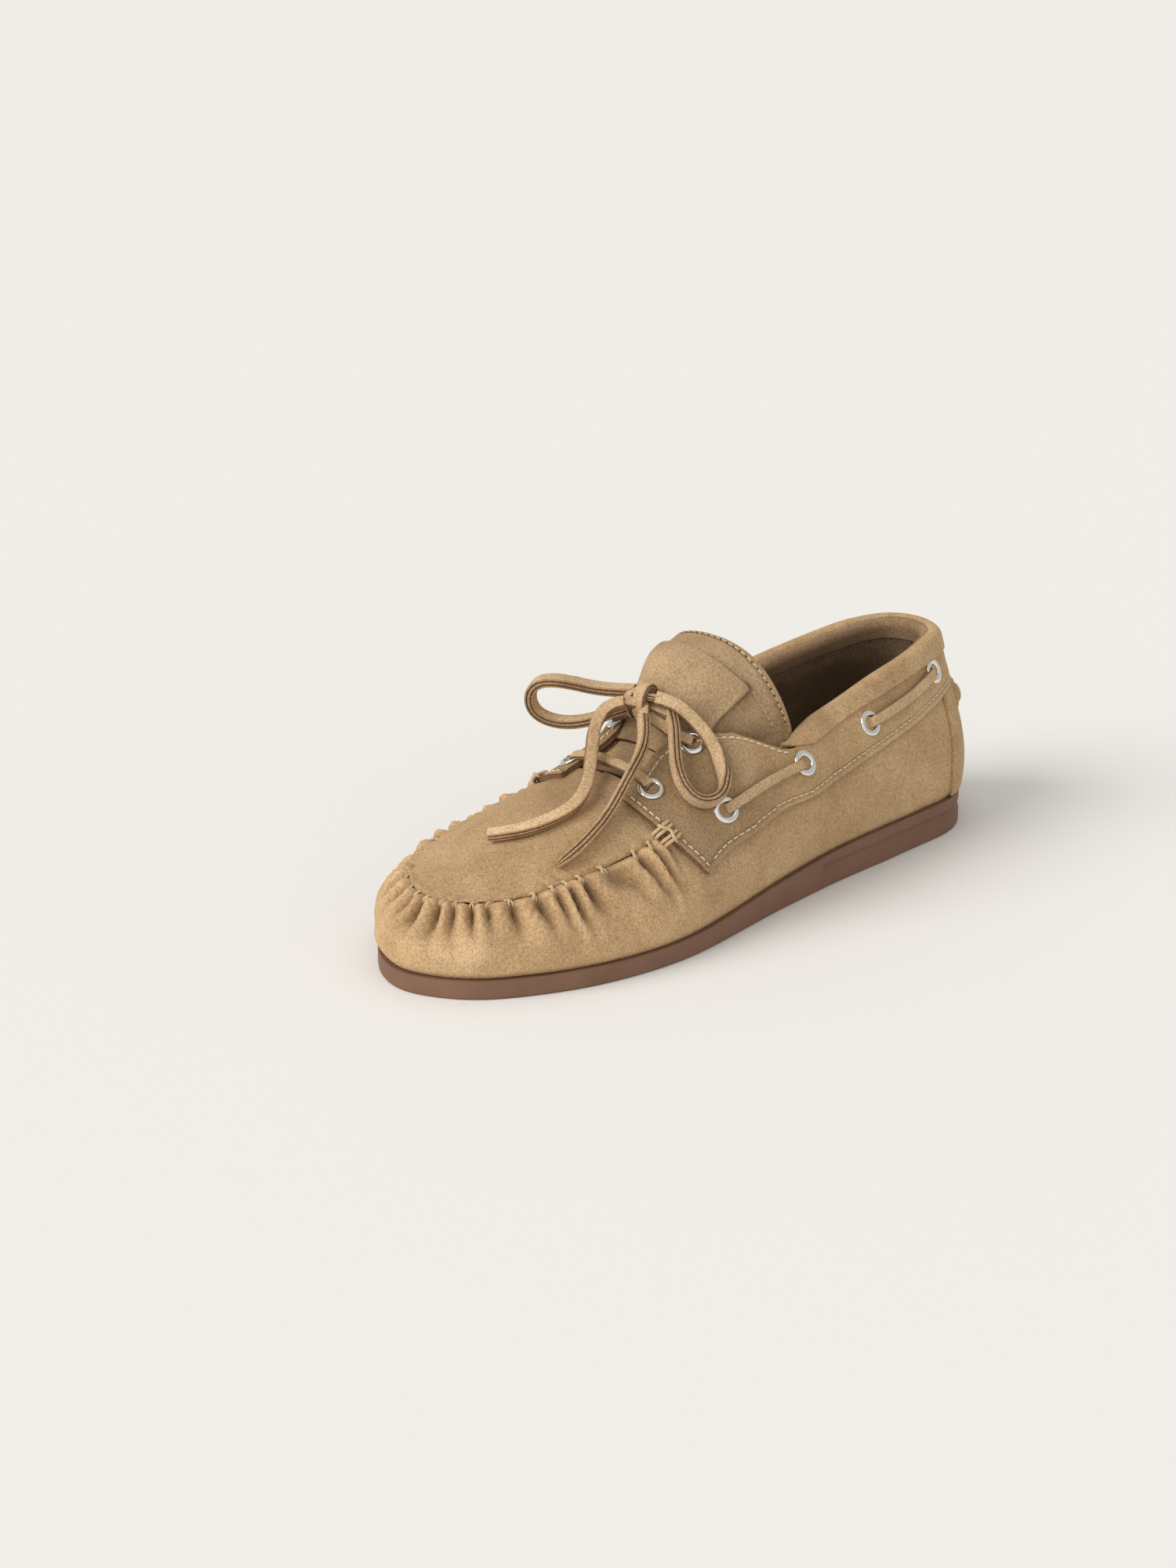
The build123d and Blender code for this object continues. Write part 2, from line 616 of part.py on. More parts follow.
def make_tuck():
    """Gathered roll of the heel piece, sewn below the collar at the back."""
    def grid(height):
        rows = []
        for i in range(13):
            t = TUCK_REACH * (i / 6.0 - 1.0)
            width = (1.0 - (t / (TUCK_REACH + 0.001)) ** 2) ** 0.5
            row = []
            for k in range(9):
                swell = height * sin(pi * k / 8.0) * width
                row.append(layer(t % 1.0, TUCK_LOW + TUCK_TALL * k / 8.0,
                                 LAP + SUEDE + LAP + swell))
            rows.append(row)
        return rows
    return solid_between(raised(grid(TUCK_SWELL), (0.0, 0.3, 0.0)), grid(0.0))


def make_tongue():
    whole = (lambda f: 0.0, lambda f: 6.0)
    gap = 0.03
    add("tongue_base", tongue_patch(lambda f: 0.0, lambda f: flap_line(f) - gap,
                                    -0.98, 0.98, 0.0, -1.3))
    add("tongue_base_lining", tongue_patch(lambda f: 0.4, lambda f: flap_line(f) - gap,
                                           -0.96, 0.96, -1.75, -2.5))
    add("tongue_flap", tongue_patch(lambda f: flap_line(f) + gap, whole[1],
                                    -0.98, 0.98, 0.0, -1.3))
    add("tongue_flap_lining", tongue_patch(lambda f: flap_line(f) + gap, lambda f: 5.93,
                                           -0.96, 0.96, -1.75, -2.5))
    add("tongue_overlay", tongue_patch(lambda f: flap_line(f) + gap,
                                       lambda f: OVERLAY_TOP - 0.4 * f * f,
                                       -OVERLAY_HALF, OVERLAY_HALF, 1.3, 0.15))


def make_eyelets():
    for number, (t, v) in enumerate(EYELETS, start=1):
        depth = THROAT_DEPTH if number <= 2 else SIDE_DEPTH
        for side, u in on_both_sides(t):
            add(f"eyelet_{side}_{number}", make_eyelet(u, v, depth))


def make_laces():
    for side, sign in (("lateral", 1.0), ("medial", -1.0)):
        add(f"lace_side_front_{side}", lace_tube(side_lace(2, 3, sign), LACE_ROUND,
                                                 f"lace_side_front_{side}"))
        add(f"lace_side_rear_{side}", lace_tube(side_lace(4, 5, sign), LACE_ROUND,
                                                f"lace_side_rear_{side}"))
        (ta, va), (tb, vb) = EYELETS[3], EYELETS[4]
        lo, hi = (tb, ta) if sign > 0 else (1.0 - ta, 1.0 - tb)

        def mid(t):
            near = min(t, 1.0 - t)
            return va + (vb - va) * (near - ta) / (tb - ta)
        add(f"lace_tunnel_{side}", patch(between(lo, hi, lambda t: mid(t) - TUNNEL_HALF,
                                                 lambda t: mid(t) + TUNNEL_HALF),
                                         20, 4, -2.1, -3.7))
    reach, high = EYELETS[5]

    def dip(t):
        return high - 0.03 * (1.0 - cos(t * 23.0))
    add("lace_tunnel_heel", patch(between(-reach, reach, lambda t: dip(t) - TUNNEL_HALF,
                                          lambda t: dip(t) + TUNNEL_HALF), 40, 4, -2.1, -3.7))


def make_throat_lace():
    """The lace over the throat: the low bar, the crossing and the pulls to the knot."""
    (tl, vl), (tu, vu) = EYELETS[0], EYELETS[1]
    bar = [layer(tl, vl, -0.1), layer(tl, vl, 4.6), np.array([9.0, -35.6, 56.2]),
           np.array([-9.0, -35.6, 56.2]), layer(1 - tl, vl, 4.6), layer(1 - tl, vl, -0.1)]
    add("lace_bar", lace_tube(bar, LACE_SLIM, "lace_bar"))
    for side, u, x in (("lateral", tu, 1.0), ("medial", 1 - tu, -1.0)):
        pull = [layer(u, vu, -0.1), layer(u, vu, 5.4), np.array([x * 11.5, -17.0, 63.4]),
                np.array([x * 4.2, -20.0, 65.4])]
        add("lace_pull_" + side, lace_tube(pull, LACE_SLIM, "lace_pull_" + side))


def oval(deep, tall, half_length, edge):
    """Rounded slice of lace, lying across the shoe."""
    block = extrude(Plane.YZ * Ellipse(deep, tall), half_length, both=True)
    return fillet(block.edges(), edge)


def make_knot():
    """Bow knot: an upright wrap round a bundle across the shoe."""
    wrap = oval(4.5, 6.3, 1.9, 1.4)
    bundle = oval(2.9, 3.3, 4.0, 0.8)
    return (wrap + bundle).solids()[0].moved(Location(moved(KNOT)))


def make_bow():
    add("knot", make_knot())
    for name, route in (("bow_loop_lateral", LOOP_LATERAL), ("bow_loop_medial", LOOP_MEDIAL),
                        ("lace_tail_front", TAIL_FRONT), ("lace_tail_side", TAIL_SIDE)):
        add(name, lace_tube(route, BOW_DIAMETER, name))


def make_seams():
    """Thick thread of the moccasin seam, and the knot at each end of it."""
    route = [layer(t, seam_height(t), 0.95) for t in np.linspace(0.3275, 0.6725, 40)]
    path = Spline([moved(p) for p in route])
    start = Plane(origin=path @ 0, z_dir=path % 0)
    add("moc_seam_thread", Solid.sweep(Face(Wire.make_circle(0.6, start)), Wire([path])))
    for side, u in on_both_sides(0.3235):
        knot = Cylinder(1.3, 8.0, rotation=(90, 0, 0)).moved(
            eyelet_plane(u, 0.60, LAP + SUEDE + 1.8).location)
        add("bar_tack_" + side, knot)


def save_all():
    for name, solid in parts.items():
        solid.label = name
        export_step(solid, f"parts/{name}.step")


make_sole_parts()
make_upper()
make_tongue()
make_eyelets()
make_laces()
make_throat_lace()
make_bow()
make_seams()
save_all()
print(len(parts), "pieces")
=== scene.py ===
import math

import bpy
import numpy as np
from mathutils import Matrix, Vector
from mathutils.kdtree import KDTree


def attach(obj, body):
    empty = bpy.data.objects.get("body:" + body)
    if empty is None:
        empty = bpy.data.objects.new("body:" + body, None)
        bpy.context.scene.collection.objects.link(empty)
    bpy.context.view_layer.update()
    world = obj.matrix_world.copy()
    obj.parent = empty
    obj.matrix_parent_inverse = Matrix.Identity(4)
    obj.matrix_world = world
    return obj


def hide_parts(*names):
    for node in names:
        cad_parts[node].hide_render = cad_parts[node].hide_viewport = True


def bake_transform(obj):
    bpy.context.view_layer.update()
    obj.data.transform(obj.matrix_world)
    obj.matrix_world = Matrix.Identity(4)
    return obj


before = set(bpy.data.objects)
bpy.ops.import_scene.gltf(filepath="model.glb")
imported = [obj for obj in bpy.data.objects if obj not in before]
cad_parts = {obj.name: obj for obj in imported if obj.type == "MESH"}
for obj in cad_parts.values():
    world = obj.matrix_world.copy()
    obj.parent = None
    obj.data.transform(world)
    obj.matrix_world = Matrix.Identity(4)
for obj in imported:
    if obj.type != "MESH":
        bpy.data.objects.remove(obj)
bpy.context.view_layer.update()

# ---- the shoe surface, in millimetres ------------------------------------------------
SHIFT = np.array([-2.04, -0.33, 0.0])
SUEDE = 1.7
LAP = 0.12
LINING_DEPTH = 4.1
ROUND_MM = 680.0     # once round the shoe
BACK_SEAM = 0.0002   # t of the collar's back edge

# One row per pair of stations from the heel to the toe: sole (y, lateral x, medial x),
# top (x, y, z), bulge (lateral, medial), bulge height, shoulder (lateral x, medial x, y, z)
ROWS = [
    (127.5, 0.0, 0.0, 0.0, 116.8, 66.6, 4.6, 4.6, 18, 18, 0.0, 0.0, 4.6, -20),
    (121.5, 16.3, 16.0, 10.6, 112.8, 66.4, 4.2, 4.2, 18, 18, 4.0, 4.0, 3.2, -20),
    (107.5, 27.6, 26.5, 16.4, 101.8, 65.6, 3.8, 3.8, 18, 18, 7.4, 6.8, 1.4, -19),
    (87.5, 30.8, 29.8, 19.8, 86.5, 63.6, 3.7, 4.5, 17, 18, 9.6, 9.0, 0.0, -17),
    (67.5, 32.4, 30.0, 22.3, 66.5, 60.8, 4.0, 5.5, 17, 18, 11.0, 9.0, 0.0, -16),
    (37.5, 34.4, 28.0, 25.3, 38.0, 56.0, 4.5, 7.0, 17, 19, 11.5, 8.0, 0.0, -13),
    (22.5, 36.2, 27.0, 27.3, 22.0, 53.5, 4.5, 8.0, 18, 20, 11.0, 7.0, 0.0, -9),
    (7.5, 38.1, 27.0, 20.0, 8.0, 59.3, 5.0, 7.5, 19, 21, 17.0, 13.0, 0.0, -9),
    (-7.5, 40.6, 28.5, 15.0, -5.5, 63.4, 5.0, 7.5, 19, 22, 19.5, 16.0, 0.0, -7),
    (-22.5, 43.2, 31.0, 0.0, -21.0, 59.3, 5.0, 7.0, 18, 23, 26.0, 24.0, 0.0, -1),
    (-35.0, 45.0, 34.5, 0.0, -34.0, 52.4, 5.0, 6.0, 17, 24, 27.0, 25.0, 0.0, 0),
    (-47.5, 45.7, 38.0, 0.0, -47.0, 47.6, 5.0, 5.5, 16, 24, 28.0, 26.0, 0.0, 1),
    (-62.5, 44.6, 41.0, 0.0, -60.0, 44.3, 5.0, 5.5, 15, 22, 28.0, 26.0, -2.0, 1),
    (-82.5, 40.4, 41.0, 0.0, -74.0, 41.3, 5.5, 6.5, 14, 19, 25.0, 25.0, -6.0, 0),
    (-102.5, 31.9, 35.0, 0.0, -85.0, 38.6, 6.5, 8.0, 14, 17, 21.0, 22.0, -12.0, -2),
    (-115.5, 23.2, 24.5, 0.0, -90.0, 37.3, 7.0, 9.0, 14, 16, 15.0, 16.0, -17.0, -3),
    (-123.5, 12.7, 14.0, 0.0, -93.0, 36.4, 7.5, 9.0, 14, 15, 8.0, 8.5, -21.0, -5),
    (-127.5, 0.0, 0.0, 0.0, -95.0, 35.8, 8.5, 8.5, 14, 14, 0.0, 0.0, -22.0, -5),
]
TONGUE_ROWS = [
    (19.0, -36.0, 43.0, -33.0, 50.2, 2.0),
    (20.0, -21.0, 48.5, -20.5, 57.0, 2.0),
    (18.5, -8.0, 48.0, -16.0, 64.3, 1.8),
    (17.5, 2.0, 51.0, -10.5, 78.0, 2.2),
    (20.5, 13.0, 53.0, -4.5, 84.0, 2.4),
    (23.0, 21.0, 54.5, 4.0, 85.5, 2.5),
    (24.6, 27.0, 56.0, 14.5, 84.5, 2.7),
]


def smooth(x):
    x = np.clip(x, 0.0, 1.0)
    return x * x * (3.0 - 2.0 * x)


def cubic(s, here, there, leave, arrive):
    """Smooth step from here to there over s, with its slopes at both ends."""
    return ((2 * s**3 - 3 * s**2 + 1) * here + (s**3 - 2 * s**2 + s) * leave
            + (3 * s**2 - 2 * s**3) * there + (s**3 - s**2) * arrive)


def sole_top(y):
    return 6.5 + 6.0 * smooth((y + 60.0) / 125.0)


def station(row, side):
    y, lateral, medial, tx, ty, tz, out_l, out_m, high_l, high_m, sx_l, sx_m, sy, sz = row
    first = side > 0
    foot = np.array([side * (lateral if first else medial), y, float(sole_top(y))])
    top = np.array([side * tx, ty, tz])
    shoulder = np.array([side * (sx_l if first else sx_m), sy, sz])
    return foot, top, (out_l if first else out_m), (high_l if first else high_m), shoulder


def stations():
    ring = [station(r, 1.0) for r in ROWS] + [station(r, -1.0) for r in ROWS[-2:0:-1]]
    feet = np.array([s[0][:2] for s in ring])
    count = len(ring)
    control = []
    for k, (foot, top, bulge, height, shoulder) in enumerate(ring):
        along = feet[(k + 1) % count] - feet[k - 1]
        along = along / np.linalg.norm(along)
        out = np.array([-along[1], along[0], 0.0])
        feather = foot - 1.2 * out
        control.append([feather, feather + bulge * out + np.array([0, 0, height]),
                        top + shoulder, top])
    steps = np.linalg.norm(np.roll(feet, -1, axis=0) - feet, axis=1)
    knots = np.concatenate([[0.0], np.cumsum(steps[:-1])]) / steps.sum()
    control = np.array(control)
    gaps = np.diff(np.append(knots, 1.0))
    rise = (np.roll(control, -1, axis=0) - control) / gaps[:, None, None]
    before = np.roll(gaps, 1)[:, None, None]
    after = gaps[:, None, None]
    slopes = (after * np.roll(rise, 1, axis=0) + before * rise) / (before + after)
    return knots, control, gaps, slopes, feet


KNOTS, CONTROL, GAPS, SLOPES, FEET = stations()


def surf(t, v):
    """Points of the shoe surface for arrays of t and v."""
    t, v = np.broadcast_arrays(np.asarray(t, float) % 1.0, np.asarray(v, float))
    i = np.clip(np.searchsorted(KNOTS, t, side="right") - 1, 0, len(KNOTS) - 1)
    j = (i + 1) % len(KNOTS)
    span = GAPS[i][..., None, None]
    s = ((t - KNOTS[i]) / GAPS[i])[..., None, None]
    c = cubic(s, CONTROL[i], CONTROL[j], SLOPES[i] * span, SLOPES[j] * span)
    w = (1.0 - v)[..., None]
    u = v[..., None]
    return (w**3 * c[..., 0, :] + 3 * u * w * w * c[..., 1, :]
            + 3 * u * u * w * c[..., 2, :] + u**3 * c[..., 3, :])


def normal(t, v):
    """Outward unit normals of the shoe surface."""
    t, v = np.broadcast_arrays(np.asarray(t, float), np.asarray(v, float))
    along = surf(t + 0.002, v) - surf(t - 0.002, v)
    up = surf(t, np.minimum(v + 0.01, 1.0)) - surf(t, np.maximum(v - 0.01, 0.0))
    n = -np.cross(along, up)
    return n / np.linalg.norm(n, axis=-1, keepdims=True)


def lay(t, v, offset):
    """Points on the shoe surface moved outward by offset."""
    return surf(t, v) + np.asarray(offset, float)[..., None] * normal(t, v)


def curve_value(points, x):
    """Smooth curve value(x) through a few (x, value) points, for arrays of x."""
    xs = np.array([p[0] for p in points], float)
    ys = np.array([p[1] for p in points], float)
    x = np.clip(np.asarray(x, float), xs[0], xs[-1])
    i = np.clip(np.searchsorted(xs, x) - 1, 0, len(xs) - 2)
    lo = np.maximum(np.arange(len(xs)) - 1, 0)
    hi = np.minimum(np.arange(len(xs)) + 1, len(xs) - 1)
    slope = (ys[hi] - ys[lo]) / (xs[hi] - xs[lo])
    span = xs[i + 1] - xs[i]
    s = (x - xs[i]) / span
    return cubic(s, ys[i], ys[i + 1], slope[i] * span, slope[i + 1] * span)


def seam_height(t):
    return 0.565 + 0.085 * np.exp(-(((np.asarray(t) - 0.5) / 0.045) ** 2))


COLLAR_LOW = [(0.0, 0.70), (0.06, 0.70), (0.104, 0.65), (0.154, 0.61), (0.188, 0.57),
              (0.229, 0.47), (0.258, 0.38), (0.285, 0.325), (0.301, 0.295)]
COLLAR_HIGH = [(0.0, 0.955), (0.200, 0.955), (0.211, 0.915), (0.222, 0.875), (0.243, 0.895),
               (0.264, 0.900), (0.285, 0.86), (0.318, 0.83)]
V_POINT_T = 0.301
CORNER_T = 0.3236
EYELETS = [(0.3075, 0.755), (0.2725, 0.845), (0.2755, 0.50), (0.2075, 0.79),
           (0.1440, 0.815), (0.0680, 0.87)]


def collar_map(a, b):
    """(t, v) of the collar: a from the back seam to the front edge, b from low to high."""
    low_t = BACK_SEAM + (V_POINT_T - BACK_SEAM) * a
    high_t = BACK_SEAM + (CORNER_T - BACK_SEAM) * a
    low = curve_value(COLLAR_LOW, low_t)
    high = curve_value(COLLAR_HIGH, high_t)
    t = low_t + (high_t - low_t) * b + 0.0052 * np.sin(np.pi * b) * a**4
    return t, low + (high - low) * b


def wave(x, seed):
    """Smooth pseudo-random wave of x, about -1 to 1, the same each time."""
    rng = np.random.default_rng(seed)
    total = np.zeros_like(np.asarray(x, float))
    for _ in range(5):
        total = total + rng.uniform(0.5, 1.0) * np.sin(
            x * rng.uniform(0.6, 2.2) + rng.uniform(0, 6.28))
    return total / 2.4


# ---- mesh helpers --------------------------------------------------------------------
def make_mesh(name, points, faces, material, body="shoe", edge=None, edge_faces=0,
              shade=None):
    """Mesh object from points in millimetres; its last edge_faces faces get the edge material.

    shade is painted light (above 0) or painted shade (below 0) on the first points, with some
    uneven tone of the nap.
    """
    data = bpy.data.meshes.new(name)
    verts = (np.asarray(points, float).reshape(-1, 3) + SHIFT) * 0.001
    data.from_pydata(verts.tolist(), [], [tuple(int(i) for i in f) for f in faces])
    data.polygons.foreach_set("use_smooth", [True] * len(data.polygons))
    data.set_sharp_from_angle(angle=math.radians(62))
    data.materials.append(material)
    if edge is not None:
        data.materials.append(edge)
        index = np.zeros(len(data.polygons), int)
        index[len(index) - edge_faces:] = 1
        data.polygons.foreach_set("material_index", index.tolist())
    if shade is not None:
        values = np.zeros(len(data.vertices), np.float32)
        values[:np.size(shade)] = np.ravel(shade)
        data.attributes.new("shade", "FLOAT", "POINT").data.foreach_set("value", values)
    data.update()
    obj = bpy.data.objects.new(name, data)
    bpy.context.scene.collection.objects.link(obj)
    if body:
        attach(obj, body)
    return obj


def grid_normals(g, flip=False):
    """Unit normals of a grid of points."""
    du = np.gradient(g, axis=0)
    dv = np.gradient(g, axis=1)
    n = np.cross(du, dv)
    n = n / np.maximum(np.linalg.norm(n, axis=-1, keepdims=True), 1e-9)
    return -n if flip else n


def thick_grid(g, thick, flip=False, round_edge=0.35):
    """Closed solid from an outer grid: points and faces, with softened cut edges."""
    n = grid_normals(g, flip)
    nu, nv = g.shape[:2]
    outer = g.copy()
    edge = np.zeros((nu, nv))
    edge[0, :] = edge[-1, :] = 1
    edge[:, 0] = edge[:, -1] = 1
    outer = outer - (edge * round_edge)[..., None] * n
    inner = g - np.asarray(thick)[..., None] * n if np.ndim(thick) else g - thick * n
    points = np.concatenate([outer.reshape(-1, 3), inner.reshape(-1, 3)])
    faces = []
    off = nu * nv
    for i in range(nu - 1):
        for j in range(nv - 1):
            a, b, c, d = i * nv + j, (i + 1) * nv + j, (i + 1) * nv + j + 1, i * nv + j + 1
            if flip:
                faces.append((a, d, c, b))
                faces.append((off + a, off + b, off + c, off + d))
            else:
                faces.append((a, b, c, d))
                faces.append((off + a, off + d, off + c, off + b))
    ring = [i * nv for i in range(nu)] + [(nu - 1) * nv + j for j in range(1, nv)]
    ring += [i * nv + nv - 1 for i in range(nu - 2, -1, -1)] + list(range(nv - 2, 0, -1))
    for k in range(len(ring)):
        p, q = ring[k], ring[(k + 1) % len(ring)]
        faces.append((p, off + p, off + q, q) if not flip else (p, q, off + q, off + p))
    return points, faces


def join_parts(parts):
    """One list of points and faces from several."""
    points = []
    faces = []
    base = 0
    for p, f in parts:
        points.append(np.asarray(p, float).reshape(-1, 3))
        faces.extend([tuple(i + base for i in face) for face in f])
        base += len(points[-1])
    return np.concatenate(points), faces


def distance_to(grid, line):
    """Distance of every point of a grid from the nearest point of a dense line."""
    tree = KDTree(len(line))
    for k, q in enumerate(line):
        tree.insert(q, k)
    tree.balance()
    flat = np.array([tree.find(q)[2] for q in grid.reshape(-1, 3)])
    return flat.reshape(grid.shape[:-1])


def resample(path, step):
    """Evenly spaced points along a polyline."""
    path = np.asarray(path, float)
    seg = np.linalg.norm(np.diff(path, axis=0), axis=1)
    s = np.concatenate([[0], np.cumsum(seg)])
    count = max(int(round(s[-1] / step)), 2)
    x = np.linspace(0, s[-1], count + 1)
    return np.stack([np.interp(x, s, path[:, k]) for k in range(3)], axis=1)


def frames(path, up):
    """Tangents, width and height directions along a path, from rough up directions."""
    tangent = np.gradient(path, axis=0)
    tangent = tangent / np.linalg.norm(tangent, axis=1, keepdims=True)
    up = np.broadcast_to(np.asarray(up, float), path.shape)
    high = up - (up * tangent).sum(1, keepdims=True) * tangent
    high = high / np.maximum(np.linalg.norm(high, axis=1, keepdims=True), 1e-9)
    return tangent, np.cross(tangent, high), high


def ring_faces(rings, count):
    """Faces that join closed rings of count points, one after the other."""
    faces = []
    for i in range(rings - 1):
        for k in range(count):
            m = (k + 1) % count
            faces.append((i * count + k, i * count + m, (i + 1) * count + m,
                          (i + 1) * count + k))
    return faces


def relax(path, rounds):
    """Soften a thread's path, its ends kept."""
    for _ in range(rounds):
        path[1:-1] = (path[:-2] + 2.0 * path[1:-1] + path[2:]) / 4.0
    return path


def tube(path, radius, up=(0, 0, 1), sides=8, taper=False, section=None, tip=()):
    """Closed tube or profiled strip along a path; tip narrows its last rings."""
    path = np.asarray(path, float)
    _, wide, high = frames(path, up)
    if section is None:
        angle = np.linspace(0, 2 * np.pi, sides, endpoint=False)
        section = np.stack([np.cos(angle), np.sin(angle)], axis=1) * radius
    sides = len(section)
    count = len(path)
    scale = np.ones(count)
    if taper:
        scale[0] = scale[-1] = 0.45
    if tip:
        scale[-len(tip):] = tip
    rings = [path[i] + scale[i] * (section[:, :1] * wide[i] + section[:, 1:] * high[i])
             for i in range(count)]
    points = np.concatenate(rings + [path[:1], path[-1:]])
    faces = ring_faces(count, sides)
    first = count * sides
    for k in range(sides):
        m = (k + 1) % sides
        faces.append((first, m, k))
        faces.append((first + 1, (count - 1) * sides + k, (count - 1) * sides + m))
    return points, faces


def stitch_row(line, normals, pitch, length, radius, rise=0.25, seed=1):
    """Separate stitches along a line on a surface."""
    line = np.asarray(line, float)
    seg = np.linalg.norm(np.diff(line, axis=0), axis=1)
    s = np.concatenate([[0], np.cumsum(seg)])
    rng = np.random.default_rng(seed)
    parts = []
    for k in range(int(s[-1] / pitch)):
        start = k * pitch + rng.uniform(-0.12, 0.12)
        x = np.clip(start + np.array([0.0, 0.12, 0.5, 0.88, 1.0]) * length, 0, s[-1])
        p = np.stack([np.interp(x, s, line[:, c]) for c in range(3)], axis=1)
        n = np.stack([np.interp(x, s, normals[:, c]) for c in range(3)], axis=1)
        p = p + n * (np.array([-0.7, 0.55, 1.0, 0.55, -0.7]) * rise)[:, None]
        parts.append(tube(p, radius, up=n[2], sides=6, taper=True))
    return join_parts(parts)


# ---- materials -----------------------------------------------------------------------
def node_material(name):
    m = bpy.data.materials.new(name)
    m.use_nodes = True
    tree = m.node_tree
    shader = tree.nodes["Principled BSDF"]
    return m, tree, shader


def noise(tree, scale, detail=3.0, rough=0.55, coords=None):
    n = tree.nodes.new("ShaderNodeTexNoise")
    n.inputs["Scale"].default_value = scale
    n.inputs["Detail"].default_value = detail
    n.inputs["Roughness"].default_value = rough
    tree.links.new(coords.outputs["Object"], n.inputs["Vector"])
    return n


def ramp(tree, source, stops):
    r = tree.nodes.new("ShaderNodeValToRGB")
    while len(r.color_ramp.elements) < len(stops):
        r.color_ramp.elements.new(0.5)
    for e, (pos, colour) in zip(r.color_ramp.elements, stops):
        e.position = pos
        e.color = (*colour, 1.0)
    tree.links.new(source, r.inputs["Fac"])
    return r


def mix(tree, kind, factor, a, b):
    m = tree.nodes.new("ShaderNodeMix")
    m.data_type = "RGBA"
    m.blend_type = kind
    if isinstance(factor, float):
        m.inputs[0].default_value = factor
    else:
        tree.links.new(factor, m.inputs[0])
    for socket, value in ((m.inputs[6], a), (m.inputs[7], b)):
        if isinstance(value, tuple):
            socket.default_value = (*value, 1.0)
        else:
            tree.links.new(value, socket)
    return m


def suede(name, dark, mid, light, grain=1.0, sheen=0.35):
    """Napped leather: soft patches, fine speckle and a fibrous surface; its shade attribute
    scales the colour as painted light and painted shade.
    """
    m, tree, shader = node_material(name)
    coords = tree.nodes.new("ShaderNodeTexCoord")
    patches = noise(tree, 46.0, 6.0, 0.66, coords)
    patches.inputs["Distortion"].default_value = 0.5
    base = ramp(tree, patches.outputs["Fac"], [(0.24, dark), (0.5, mid), (0.76, light)])
    speckle = noise(tree, 1350.0, 2.5, 0.75, coords)
    spots = ramp(tree, speckle.outputs["Fac"],
                 [(0.36, (0.62, 0.60, 0.56)), (0.5, (1.0, 1.0, 1.0)),
                  (0.66, (1.28, 1.27, 1.24))])
    colour = mix(tree, "MULTIPLY", 0.75 * grain, base.outputs["Color"], spots.outputs["Color"])
    # painted light and painted shade: the shade attribute scales the colour's value
    painted_light_and_shade = tree.nodes.new("ShaderNodeAttribute")
    painted_light_and_shade.attribute_name = "shade"
    amount = tree.nodes.new("ShaderNodeMath")
    amount.operation = "MULTIPLY_ADD"
    tree.links.new(painted_light_and_shade.outputs["Fac"], amount.inputs[0])
    amount.inputs[1].default_value = 0.6
    amount.inputs[2].default_value = 1.0
    tone = tree.nodes.new("ShaderNodeHueSaturation")
    tree.links.new(colour.outputs[2], tone.inputs["Color"])
    tree.links.new(amount.outputs[0], tone.inputs["Value"])
    tree.links.new(tone.outputs["Color"], shader.inputs["Base Color"])
    fibre = noise(tree, 2300.0, 4.0, 0.75, coords)
    bump = tree.nodes.new("ShaderNodeBump")
    bump.inputs["Strength"].default_value = 0.35 * grain
    bump.inputs["Distance"].default_value = 0.0005
    tree.links.new(fibre.outputs["Fac"], bump.inputs["Height"])
    dents = noise(tree, 260.0, 3.0, 0.6, coords)
    soft = tree.nodes.new("ShaderNodeBump")
    soft.inputs["Strength"].default_value = 0.25
    soft.inputs["Distance"].default_value = 0.0008
    tree.links.new(dents.outputs["Fac"], soft.inputs["Height"])
    tree.links.new(bump.outputs["Normal"], soft.inputs["Normal"])
    tree.links.new(soft.outputs["Normal"], shader.inputs["Normal"])
    shader.inputs["Roughness"].default_value = 0.95
    shader.inputs["Specular IOR Level"].default_value = 0.12
    shader.inputs["Sheen Weight"].default_value = sheen
    shader.inputs["Sheen Roughness"].default_value = 0.45
    shader.inputs["Sheen Tint"].default_value = (*light, 1.0)
    return m


def plain(name, colour, rough, metallic=0.0, spec=0.5, bump_scale=None, bump_depth=0.0001,
          vary=0.12):
    m, tree, shader = node_material(name)
    coords = tree.nodes.new("ShaderNodeTexCoord")
    tone = noise(tree, 60.0, 3.0, 0.6, coords)
    dark = tuple(c * (1.0 - vary) for c in colour)
    light = tuple(min(c * (1.0 + vary), 1.0) for c in colour)
    base = ramp(tree, tone.outputs["Fac"], [(0.3, dark), (0.7, light)])
    tree.links.new(base.outputs["Color"], shader.inputs["Base Color"])
    shader.inputs["Roughness"].default_value = rough
    shader.inputs["Metallic"].default_value = metallic
    shader.inputs["Specular IOR Level"].default_value = spec
    if bump_scale:
        grain = noise(tree, bump_scale, 3.0, 0.6, coords)
        bump = tree.nodes.new("ShaderNodeBump")
        bump.inputs["Strength"].default_value = 0.4
        bump.inputs["Distance"].default_value = bump_depth
        tree.links.new(grain.outputs["Fac"], bump.inputs["Height"])
        tree.links.new(bump.outputs["Normal"], shader.inputs["Normal"])
    return m


